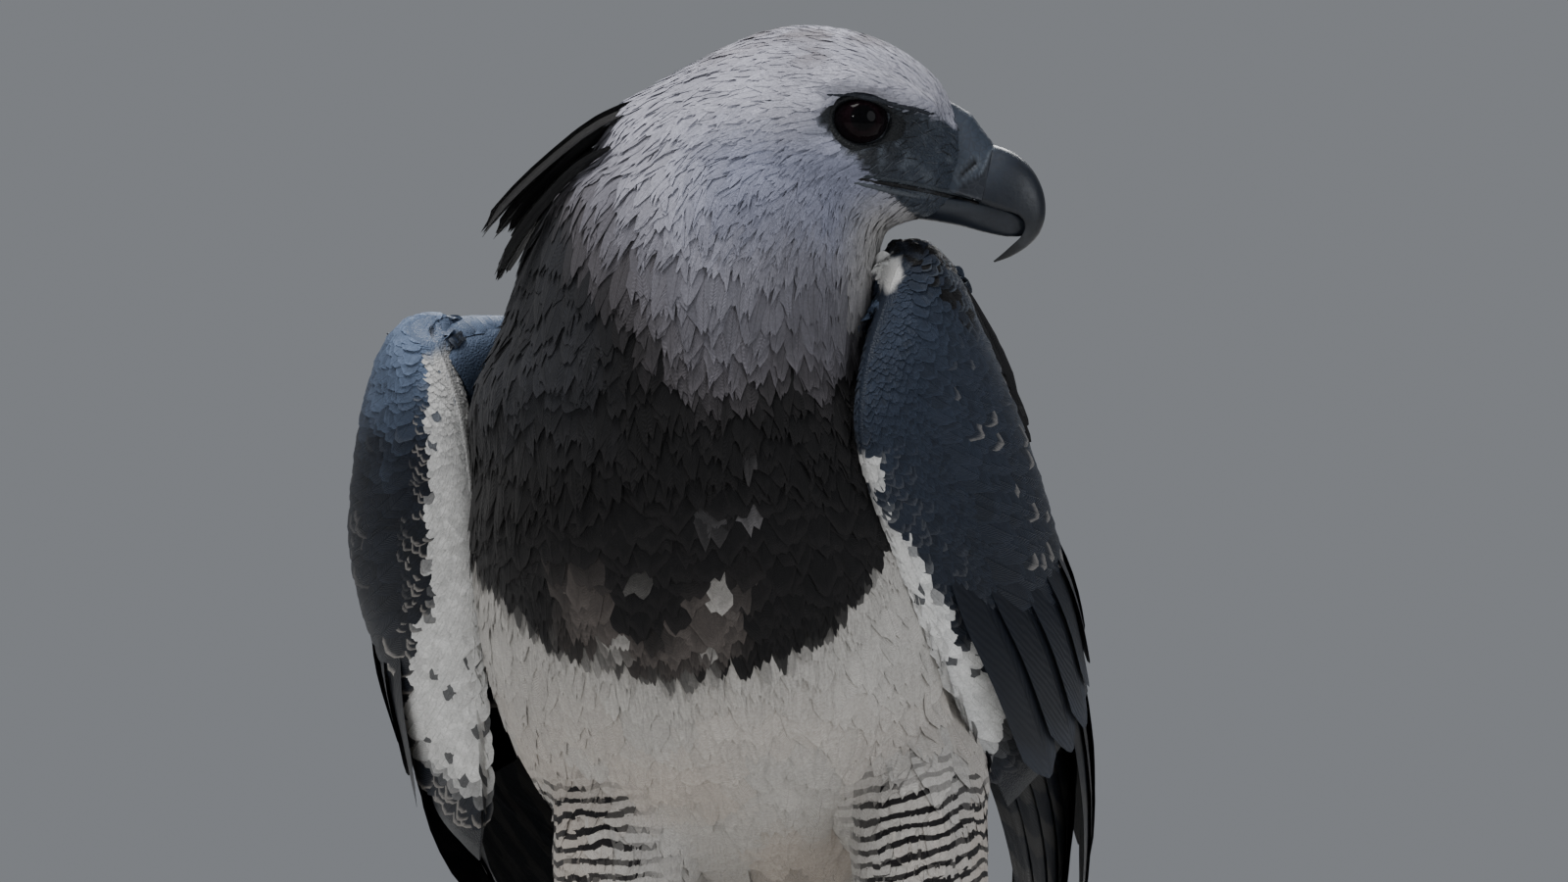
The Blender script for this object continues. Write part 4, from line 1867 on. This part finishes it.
class EAGLE_OT_tail(bpy.types.Operator):
    """Model the twelve barred tail feathers and the small coverts over their roots"""

    bl_idname = "eagle.tail"
    bl_label = "Tail"

    def execute(self, context):
        rng = np.random.default_rng(71)
        over = unit(tail_point(0, 0, 1) - tail_point(0, 0, 0))
        paths = []
        for pair in range(6):
            for side in (1, -1):
                lift = 0.0035 - pair * 0.0028 - (0.0 if side > 0 else 0.0014)
                length = TAIL_LENGTH - 0.004 * pair * pair * 0.35
                path = []
                for along in np.linspace(0, 1, 11):
                    spread = 0.005 + 0.0026 * pair + along * (0.006 + 0.0075 * pair)
                    run = -0.01 + (length + 0.01) * along
                    path.append(tail_point(side * spread, run, lift - 0.003 * along))
                paths.append(path)
        paths = np.array(paths)
        count = len(paths)
        tint = plain("black", count, 1.2) * rng.uniform(0.85, 1.2, (count, 1))
        material = feather_material(
            "tail feathers", 0.48, barbs=170.0, bars=3.6, edge=0.1, tip=0.35, lines=0.2, shaft=0.35,
            dark_bar=colour("bar"), sheen=0.02, slant=0.35, drift=0.0,
        )
        feathers = lay_feathers(
            "tail_feathers", paths, np.broadcast_to(over, paths.shape), np.full(count, 0.0235),
            30, 9, rng, material, tint=tint, rim=tint * 1.8 + 0.01, bars=np.full(count, 0.85),
            uv=row_uv(count), round=0.05, ragged=0.006, tip=0.8, root=0.45, cup=0.06, spacing=1.0,
            patch=0.06, straight=True,
        )
        finish_piece(feathers, "black_feather", "tail")
        tail_coverts(rng)
        return {"FINISHED"}


CREST_FEATHERS = [
    (-97, 9, 36, 18, 85, 6.0), (-97, 11, 36.5, 8, 90, 6.5), (-98, 11, 37.5, 0, 92, 6.5),
    (-97, 10, 38.5, -9, 90, 6.5), (-97, 8, 37.5, -19, 84, 6.0), (-104, 1, 41, 12, 70, 6.0),
    (-104, 1, 42, -6, 74, 6.0), (-110, -10, 46, 28, 70, 6.0), (-111, -8, 46.5, 16, 75, 6.5),
    (-112, -8, 48, 4, 78, 6.5), (-112, -9, 47.5, -8, 77, 6.5), (-111, -9, 46.5, -18, 74, 6.5),
    (-110, -11, 46, -30, 68, 6.0),
]


class EAGLE_OT_crest(bpy.types.Operator):
    """Model the long black feathers of the two-part crest"""

    bl_idname = "eagle.crest"
    bl_label = "Crest"

    def execute(self, context):
        rng = np.random.default_rng(81)
        paths, ups = [], []
        for number, (root_ahead, root_up, droop, side, length, _) in enumerate(CREST_FEATHERS):
            tilt = math.radians(26 if number % 2 else -22)
            flat = HEAD_TURN @ np.array((0, -math.cos(tilt), math.sin(tilt)))
            fan = side * 0.0032
            path, normals = [], []
            for along in np.linspace(0, 1, 9):
                curl = math.radians(droop) + 0.1 * along * along
                c, s = math.cos(curl), math.sin(curl)
                reach = length * along - 6 * (1 - along)
                up = root_up - s * reach - 7.0 * max(0.0, 1 - along / 0.4) ** 2
                path.append(head_point(root_ahead - c * reach, up, side + fan * max(reach, 0)))
                heading = HEAD_TURN @ unit(np.array((-c, -fan, -s)))
                across = unit(flat - heading * np.dot(flat, heading))
                normals.append(unit(np.cross(across, heading)))
            paths.append(path)
            ups.append(normals)
        count = len(paths)
        tint = plain("black", count, 1.1) * rng.uniform(0.8, 1.3, (count, 1))
        material = feather_material(
            "crest feathers", 0.45, barbs=46.0, edge=0.1, tip=0.1, lines=0.3, shaft=0.0,
            sheen=0.05, slant=1.6,
        )
        crest = lay_feathers(
            "crest", np.array(paths), np.array(ups), np.array(CREST_FEATHERS)[:, -1] * MM, 22, 9,
            rng, material, tint=tint, rim=tint * 1.6 + 0.01, uv=row_uv(count), round=0.1,
            ragged=0.05, tip=0.62, root=0.5, cup=0.16, wave=0.05, patch=0.06,
        )
        finish_piece(crest, "black_feather")
        return {"FINISHED"}


# Eyes, lids, bill and mouth


def eye_lid(side, centre, facing):
    """A soft rim that hugs the ball, flat along the brow and round below."""
    over = unit(UPWARDS - facing * facing[2])
    across = HEAD_TURN @ ACROSS
    across = unit(across - facing * np.dot(across, facing))
    around = 72
    profile = [
        (-0.5, -1.6), (0.1, -0.7), (0.9, -0.1), (2, 0.1), (3.4, -0.25), (5.2, -1.2), (7, -2.8)
    ]
    rings = []
    for k in range(around):
        c, s = math.cos(2 * math.pi * k / around), math.sin(2 * math.pi * k / around)
        upper, front = max(s, 0.0), max(c, 0.0)
        # The upper rim slopes down towards the bill.
        y = (8.0 if s > 0 else 10.9) * s - (1.9 * c + 0.4) * upper
        x = 11.8 * c + 0.9 * front
        radius = math.hypot(x, y)
        ball = (EYE_RADIUS / MM + 0.4) ** 2 - min(radius, 11.9) ** 2
        rim = across * (x / radius) + over * (y / radius)
        ring = []
        for out, lift in profile:
            out = out * (1 - 0.55 * upper) * (1 - 0.25 * max(-c, 0.0))
            height = math.sqrt(max(ball, 0.0)) + 0.9 + lift
            ring.append(centre + (rim * (radius + out) + facing * height) * MM)
        rings.append(ring)
    rings = np.array(rings + rings[:1])
    faces = ring_faces(around + 1, len(profile), closed=False)
    obj = put_in_scene(f"lid_{side}", fast_mesh(f"lid_{side}", rings.reshape(-1, 3), faces))
    dress(obj, skin_material(), colour("face") * 0.22, 0.04)
    on_whole_mesh(
        obj,
        lambda: bpy.ops.mesh.remove_doubles(threshold=0.00001),
        lambda: bpy.ops.mesh.normals_make_consistent(inside=False),
    )
    if (normals_of(obj.data).mean(0) @ facing) < 0:
        obj.data.flip_normals()
    finish_piece(obj, "cere")


class EAGLE_OT_eyes(bpy.types.Operator):
    """Model the dark glossy eyes and the bare rims round them"""

    bl_idname = "eagle.eyes"
    bl_label = "Eyes"

    def execute(self, context):
        for side, sign in (("right", 1), ("left", -1)):
            centre = head_point(0, 0, sign * EYE_SIDE / MM)
            facing = unit(head_point(100, 20, sign * 500) - head_point(0, 0, 0))
            deselect()
            bpy.ops.mesh.primitive_uv_sphere_add(segments=48, ring_count=32, radius=EYE_RADIUS)
            eye = context.view_layer.objects.active
            eye.name = eye.data.name = f"eyeball_{side}"
            # The clear front bulges a little beyond the ball.
            points = points_of(eye.data)
            bulge = 1 + 0.045 * ease(0.66, 0.95, points[:, 2] / EYE_RADIUS)
            move_points(eye, points * bulge[:, None])
            turn = Vector((0, 0, 1)).rotation_difference(Vector(facing)).to_matrix().to_4x4()
            eye.data.transform(Matrix.Translation(centre) @ turn)
            eye.data.shade_smooth()
            rise = unit(points_of(eye.data) - centre) @ facing
            tint = np.repeat([[0.005, 0.004, 0.005]], len(points), 0)
            tint = blend(tint, colour("iris"), ease(0.6, 0.7, rise))
            tint = blend(tint, (0.002, 0.002, 0.0025), ease(0.885, 0.9, rise))
            ring = ease(0.78, 0.8, rise) * ease(0.93, 0.9, rise)
            dress(eye, eye_material(), blend(tint, colour("iris") * 1.7, ring * 0.6))
            finish_piece(eye, "eye", f"eye_{side}")
            eye_lid(side, centre, facing)
        return {"FINISHED"}


def profile_rings(stations, steps, down, right):
    """Cross-sections between an upper and a lower line in profile, with shares down and right."""
    rings = []
    for top_x, top_z, low_x, low_z, width in smooth_rows(stations, np.linspace(0, 1, steps + 1)):
        ahead = top_x + (low_x - top_x) * down
        up = top_z + (low_z - top_z) * down
        rings.append([head_point(a, u, r) for a, u, r in zip(ahead, up, right * width)])
    return np.array(rings)


def bill_rings(stations, steps, arch=14):
    k = np.arange(-arch, arch + 1)
    down = 1 - np.cos(np.pi / 2 * np.abs(k) / arch)
    right = np.sign(k) * (1 - (1 - down) ** 2.3) ** (1 / 2.3)
    return profile_rings(stations, steps, down, right)


def near_line(ahead, up, start, end):
    """Distance in millimetres from a line in profile."""
    line = np.array(end) - np.array(start)
    t = np.clip(((ahead - start[0]) * line[0] + (up - start[1]) * line[1]) / (line @ line), 0, 1)
    return np.hypot(ahead - start[0] - line[0] * t, up - start[1] - line[1] * t)


# Name, radius, sunk share of the radius, colour and line in profile of the folds round the mouth.
MOUTH_LINES = [
    ("mouth_line", 1.15, 0.45, (0.0025, 0.0025, 0.0032), [
        (-5, -25), (0, -25.4), (8, -26.6), (18, -28.4), (27, -30.3), (35, -32.2), (43, -34.4),
        (50, -36.3),
    ]),
    ("gape_fold", 1.5, 0.35, (0.05, 0.057, 0.068), [
        (-4, -26.8), (2, -27.6), (9, -29.2), (17, -31.2), (25, -33)
    ]),
    ("brow_line", 1.5, 0.25, (0.012, 0.014, 0.02), [
        (-15.5, 10.2), (-8, 10.6), (0, 9.9), (8, 8.4), (17, 6), (25, 4), (31, 2.2)
    ]),
    ("lip", 1.2, 0.6, (0.022, 0.027, 0.034), [
        (-2, -23.9), (8, -24.8), (18, -26.5), (28, -28.7), (38, -31.2), (47, -34)
    ]),
]


def seam_tint(ahead, up, horn, cere):
    """Horn before and cere behind the curved seam between them, with a faint pale line along it."""
    stops = [-36, -33, -27.5, -23.5, -19.3, -13.9, -11.3, 0]
    past = ahead - np.interp(up, stops, [38.5, 39.5, 43, 50.6, 52.8, 54.6, 58.5, 64])
    tint = blend(cere, horn, ease(-0.5, 0.5, past))
    return blend(tint, (0.085, 0.1, 0.12), np.exp(-((past / 0.55) ** 2)) * ease(-27, -22, up) * 0.7)


def mouth_lines():
    """The dark line of the mouth and the pale fold at its corner, on both sides."""
    names = ("skin", "cere_skin", "bill_jaw", "bill_hook", "lid_right", "lid_left")
    trees = [Surface(bpy.data.objects[name]).tree for name in names]

    def on_side(ahead, up, sign):
        start = Vector(head_point(ahead, up, sign * 75))
        heading = Vector(unit(head_point(ahead, up, 0) - np.array(start)))
        hits = [tree.ray_cast(start, heading, 0.074) for tree in trees]
        reach = min([hit[3] for hit in hits if hit[0] is not None], default=0.066)
        return np.array(start + heading * reach), np.array(heading)

    for side, sign in (("right", 1), ("left", -1)):
        for name, radius, sink, shade, line in MOUTH_LINES:
            path, radii = [], []
            for index, (ahead, up) in enumerate(smooth_rows(line, np.linspace(0, 1, 40))):
                spot, inwards = on_side(ahead, up, sign)
                path.append(spot + inwards * radius * sink * MM)
                swell = math.sin(math.pi * (0.06 + 0.88 * index / 39)) ** 0.6
                radii.append(radius * MM * (0.25 + 0.75 * swell))
            path = smoothed(np.array(path), 3)
            obj = tube_object(f"{name}_{side}", limb_rings(path, radii, 12))
            dress(obj, skin_material(), shade, 0.3)
            finish_piece(obj, "cere")


def face_bristles():
    """Sparse dark bristles on the bare skin before the eye."""
    skin = surface_of("skin")
    rng = np.random.default_rng(91)

    def wanted(points):
        ahead, up, _ = head_place(points)
        return bare_face(points) * (ahead < 44) * (np.hypot(ahead, up) > 14.5)

    picked, roots, share = skin.scatter(lambda p: np.full(len(p), 0.0036), wanted, rng)
    count = len(roots)
    lengths = rng.uniform(0.0035, 0.0075, count)
    path, ups = skin.lay(roots, lengths, lie_guides(), rng.normal(0, 0.4, count), steps=3)
    dark = rng.random(count) < 0.6
    tint = np.where(dark[:, None], [[0.01, 0.011, 0.014]], [[0.055, 0.062, 0.075]])
    obj = lay_feathers(
        "face_bristles", path, ups, rng.uniform(0.00012, 0.00024, count), 5, 3, rng,
        feather_material("head feathers"), heights=(0.0, 0.0008), tint=tint,
        uv=skin.root_uv(picked, share), round=0.1, ragged=0.0, tip=0.1, root=0.9, patch=0.002,
    )
    finish_piece(obj, "grey_feather")


class EAGLE_OT_bill(bpy.types.Operator):
    """Model the hooked bill, the cere with its nostrils and the corners of the mouth"""

    bl_idname = "eagle.bill"
    bl_label = "Bill"

    def execute(self, context):
        horn = horn_material("bill horn", None, 0.42, 0.05)
        rings = bill_rings(UPPER_BILL_STATIONS, 54)
        # The horn starts a little inside the cere, so that no gap shows between them.
        middle = rings[0].mean(0)
        back = head_point(-4, 1.5, 0) - head_point(0, 0, 0)
        tucked = middle + (rings[0] - middle) * 0.95 + back
        upper = tube_object("bill_hook", np.concatenate([tucked[None], rings]))
        ahead, up, _ = head_place(points_of(upper.data))
        edge = near_line(ahead, up, (56.4, -11.3), (51.4, -36.3))
        tint = plain("bill", len(up))
        tint = blend(tint, (0.022, 0.028, 0.04), ease(14, 3, edge) * 0.6 * ease(-36, -20, up))
        tint = blend(tint, colour("bill") * 0.5, ease(-38, -52, up))
        dress(upper, horn, seam_tint(ahead, up, tint, plain("cere", len(up))))
        finish_piece(upper, "bill", "bill_upper")

        angle = np.pi / 2 * np.arange(-14, 15) / 14
        keel = profile_rings(LOWER_BILL_STATIONS, 44, np.cos(angle), np.sin(angle))
        lower = tube_object("bill_jaw", keel)
        ahead, up, _ = head_place(points_of(lower.data))
        tint = blend(plain("bill", len(up), 1.3), (0.04, 0.048, 0.062), ease(30, 10, ahead) * 0.8)
        edge = ease(-40.5, -38.0, up) * ease(70, 50, ahead) * 0.8
        dress(lower, horn, blend(tint, (0.018, 0.023, 0.032), edge))
        finish_piece(lower, "bill", "bill_lower")

        cere = tube_object("cere_skin", bill_rings(CERE_STATIONS, 48, 26))
        points = points_of(cere.data)
        ahead, up, right = head_place(points)
        off = near_line(ahead, up, (42.0, -24.5), (48.4, -18.6))
        slit = np.exp(-((off / 0.9) ** 2)) * (np.abs(right) > 4)
        lip = np.exp(-(((off - 2.2) / 0.9) ** 2)) * (np.abs(right) > 4)
        folds = soft_noise(points, 0.0035, 14) - 0.5
        rise = -1.7 * slit + 0.45 * lip + 0.5 * folds
        move_points(cere, points + normals_of(cere.data) * rise[:, None] * MM)
        tint = blend(plain("cere", len(up)), colour("cere") * 0.85, ease(46, 38, ahead))
        tint = blend(tint, (0.004, 0.004, 0.005), slit)
        tint = blend(tint, (0.055, 0.065, 0.08), lip * 0.5)
        tint = seam_tint(ahead, up, plain("bill", len(up)), tint)
        dress(cere, scaled_material("cere skin", 0.55, 300.0, (0.018, 0.021, 0.028), 0.0001), tint)
        finish_piece(cere, "cere", "cere")
        mouth_lines()
        face_bristles()
        return {"FINISHED"}


# Legs and feet


def off_floor(obj):
    """Flattens what would stand below the floor."""
    points = points_of(obj.data)
    points[:, 2] = np.maximum(points[:, 2], 0.0)
    move_points(obj, points)


def plate(share, sharp):
    """Height of one scale plate that rises along its length and drops at its end."""
    return 0.0012 * (share % 1.0) ** 0.8 * ease(1.0, sharp, share % 1.0)


def paint_foot(obj):
    points = points_of(obj.data)
    cloud = (0.78 + 0.44 * soft_noise(points, 0.012, 17))[:, None]
    under = ease(-0.2, -0.9, normals_of(obj.data)[:, 2]) * 0.6
    tint = blend(plain("foot", len(points)) * cloud, colour("foot") * 0.55, under)
    dress(obj, scaled_material("yellow scales", 0.48, 330.0, (0.22, 0.12, 0.03), 0.0005), tint)


def add_shank(side, sign):
    out, forward, height = FOOT
    top = stance_point(sign * ANKLE[0], ANKLE[1], ANKLE[2] + 0.02)
    bottom = stance_point(sign * out, forward, height + 0.004)
    along = unit(bottom - top)
    front = STANCE_TURN @ np.array((0, -1.0, 0))
    front = unit(front - along * np.dot(front, along))
    across = np.cross(along, front)
    stops, sizes = [0, 0.1, 0.2, 0.5, 0.85, 1], [1.05, 1.14, 1.02, 0.97, 1.04, 1.12]
    rings = []
    for share in np.linspace(0, 1, 91):
        radius = TARSUS_RADIUS * np.interp(share, stops, sizes)
        raised = plate((share - 0.14) * 9 / 0.8, 0.9) if 0.14 < share < 0.94 else 0.0
        sizes_here = (radius + 0.25 * raised, radius * 1.12 + raised, radius * 1.05)
        rings.append(oval(top + (bottom - top) * share, across, front, *sizes_here, 32))
    shank = tube_object(f"shank_{side}", rings)
    deselect()
    bpy.ops.mesh.primitive_uv_sphere_add(
        segments=40, ring_count=24, radius=height + 0.002,
        location=stance_point(sign * out, forward + 0.002, height),
    )
    ball = bpy.context.view_layer.objects.active
    bpy.ops.object.transform_apply(location=True, rotation=True, scale=True)
    off_floor(ball)
    join([shank, ball])
    melt(shank, 0.0009, 2)
    off_floor(shank)
    shank.data.shade_smooth()
    paint_foot(shank)
    finish_piece(shank, "yellow_scale", f"tarsus_{side}")


def add_toe(side, sign, name):
    heading, length, radius, claw_length = TOES[name]
    angle = math.radians(heading)
    pads = 2 if name in ("hallux", "inner") else 3
    plates = {"hallux": 5, "inner": 6, "middle": 9, "outer": 7}[name]

    def place(along, height):
        out = FOOT[0] + math.sin(angle) * along
        return stance_point(sign * out, FOOT[1] + math.cos(angle) * along, height)

    across = STANCE_TURN @ np.array((sign * math.cos(angle), math.sin(angle), 0))
    rings = []
    for share in (*np.linspace(0, 0.97, 84), 0.98, 0.99, 0.997, 1.0):
        pad = 0.5 + 0.5 * math.cos(2 * math.pi * (share * pads - 0.55))
        rise = TOE_END_RISE * max(0.0, (share - 0.62) / 0.38) ** 1.5
        raised = plate(share * plates, 0.88) if share < 0.95 else 0.0
        closing = math.sqrt(max(1 - (max(share - 0.97, 0) / 0.03) ** 2, 0.0))
        thick = radius * (1 - 0.2 * share) * (0.72 + 0.28 * closing)
        centre = place(0.004 + (length - 0.004) * share, TOE_HEIGHT + rise)
        sizes = (thick * (0.88 + 0.08 * pad), thick * 0.95 + raised, thick * (0.84 + 0.2 * pad))
        rings.append(oval(centre, across, UPWARDS, *sizes, 32))
    toe = tube_object(f"digit_{side}_{name}", rings)
    off_floor(toe)
    paint_foot(toe)
    finish_piece(toe, "yellow_scale", f"toe_{side}_{name}")

    # The claw bends until its tip is just over the floor.
    base = TOE_HEIGHT + TOE_END_RISE - 0.003
    start, end = math.radians(26), math.radians(-30)
    drop = 0.0
    while drop < base - 0.003 and end > math.radians(-88):
        end -= math.radians(1)
        bend = claw_length / (start - end)
        drop = bend * (math.cos(start) - math.cos(end))
    path, radii = [], []
    for share in np.linspace(0, 1, 41):
        turn = start + (end - start) * share
        run = length - 0.01 + bend * (math.sin(start) - math.sin(turn))
        path.append(place(run, base + bend * (math.cos(turn) - math.cos(start))))
        radii.append(radius * 0.55 * (1 - share) ** 0.72 + 0.0003)
    claw = tube_object(f"talon_{side}_{name}", limb_rings(path, radii, 20, 1.15))
    shade = tuple(colour("claw"))
    horn = horn_material("claw horn", shade, 0.26, 0.5, 40.0, (0.06, 0.06, 0.065))
    claw.data.materials.append(horn)
    finish_piece(claw, "claw", f"claw_{side}_{name}")


class EAGLE_OT_feet(bpy.types.Operator):
    """Model shanks, toes with their plates and pads, and the great hooked claws"""

    bl_idname = "eagle.feet"
    bl_label = "Feet"

    def execute(self, context):
        for side, sign in SIDES.items():
            add_shank(side, sign)
            for name in TOES:
                add_toe(side, sign, name)
        return {"FINISHED"}


# Stage


class EAGLE_OT_stage(bpy.types.Operator):
    """Set the floor, the soft studio lights and the camera"""

    bl_idname = "eagle.stage"
    bl_label = "Stage"

    def execute(self, context):
        settings = context.scene.eagle_stage
        deselect()
        bpy.ops.mesh.primitive_circle_add(
            vertices=96, radius=2.3, fill_type="NGON", location=(0, 0, -0.0004)
        )
        floor = context.view_layer.objects.active
        floor.name = "floor"
        floor.data.materials.append(floor_material())
        world = bpy.data.worlds.new("studio")
        world.use_nodes = True
        world.node_tree.nodes["Background"].inputs[0].default_value = (0.205, 0.215, 0.232, 1)
        context.scene.world = world
        white = (1.0, 1.0, 1.0)
        for name, place, target, power, size, tint in (
            ("key", (-0.75, -1, 2.7), (0, -0.1, 0.42), settings.key, 1.3, (1.0, 0.985, 0.965)),
            ("fill", (2, -2.1, 1), (0, -0.1, 0.4), settings.fill, 1.8, (0.93, 0.96, 1.0)),
            ("spark", (-1, -2.3, 0.95), EYES, 9.0, 0.15, white),
            ("rim", (0.4, 1.9, 2), (0, -0.1, 0.45), settings.rim, 1.2, white),
        ):
            deselect()
            bpy.ops.object.light_add(type="AREA", location=place)
            lamp = context.view_layer.objects.active
            lamp.name = name
            lamp.data.shape = "DISK"
            lamp.data.size = size
            lamp.data.energy = power
            lamp.data.color = tint
            towards = Vector(target) - Vector(place)
            lamp.rotation_euler = towards.to_track_quat("-Z", "Y").to_euler()
        target = Vector(EYES) + Vector((-0.034, 0, -0.138))
        lift = math.radians(2)
        away = Vector((0, -math.cos(lift), math.sin(lift)))
        camera = bpy.data.cameras.new("camera")
        camera.lens = 36 * settings.distance / 0.672
        camera.sensor_width = 36
        camera.clip_end = 50
        obj = bpy.data.objects.new("camera", camera)
        context.scene.collection.objects.link(obj)
        obj.location = target + away * settings.distance
        obj.rotation_euler = (-away).to_track_quat("-Z", "Y").to_euler()
        context.scene.camera = obj
        return {"FINISHED"}


OPERATORS = (
    EAGLE_OT_skin,
    EAGLE_OT_head_coat,
    EAGLE_OT_neck_coat,
    EAGLE_OT_body_coat,
    EAGLE_OT_thigh_coat,
    EAGLE_OT_wings,
    EAGLE_OT_mantle,
    EAGLE_OT_tail,
    EAGLE_OT_crest,
    EAGLE_OT_eyes,
    EAGLE_OT_bill,
    EAGLE_OT_feet,
    EAGLE_OT_stage,
)


class EAGLE_PT_panel(bpy.types.Panel):
    """Steps and settings of the eagle"""

    bl_idname = "EAGLE_PT_panel"
    bl_label = "Harpy eagle"
    bl_space_type = "VIEW_3D"
    bl_region_type = "UI"
    bl_category = "Eagle"

    def draw(self, context):
        column = self.layout.column()
        for operator in OPERATORS:
            column.operator(operator.bl_idname)
        for group in (colours(), coat(), context.scene.eagle_stage):
            for name in group.bl_rna.properties.keys():
                if name not in ("rna_type", "name"):
                    column.prop(group, name)


CLASSES = (EagleColours, EagleCoat, EagleStage) + OPERATORS + (EAGLE_PT_panel,)


def register():
    for cls in CLASSES:
        bpy.utils.register_class(cls)
    bpy.types.Scene.eagle_colours = bpy.props.PointerProperty(type=EagleColours)
    bpy.types.Scene.eagle_coat = bpy.props.PointerProperty(type=EagleCoat)
    bpy.types.Scene.eagle_stage = bpy.props.PointerProperty(type=EagleStage)


def unregister():
    del bpy.types.Scene.eagle_stage
    del bpy.types.Scene.eagle_coat
    del bpy.types.Scene.eagle_colours
    for cls in reversed(CLASSES):
        bpy.utils.unregister_class(cls)


def main():
    register()
    for operator in OPERATORS:
        getattr(bpy.ops.eagle, operator.bl_idname.split(".")[1])()


if __name__ == "__main__":
    main()
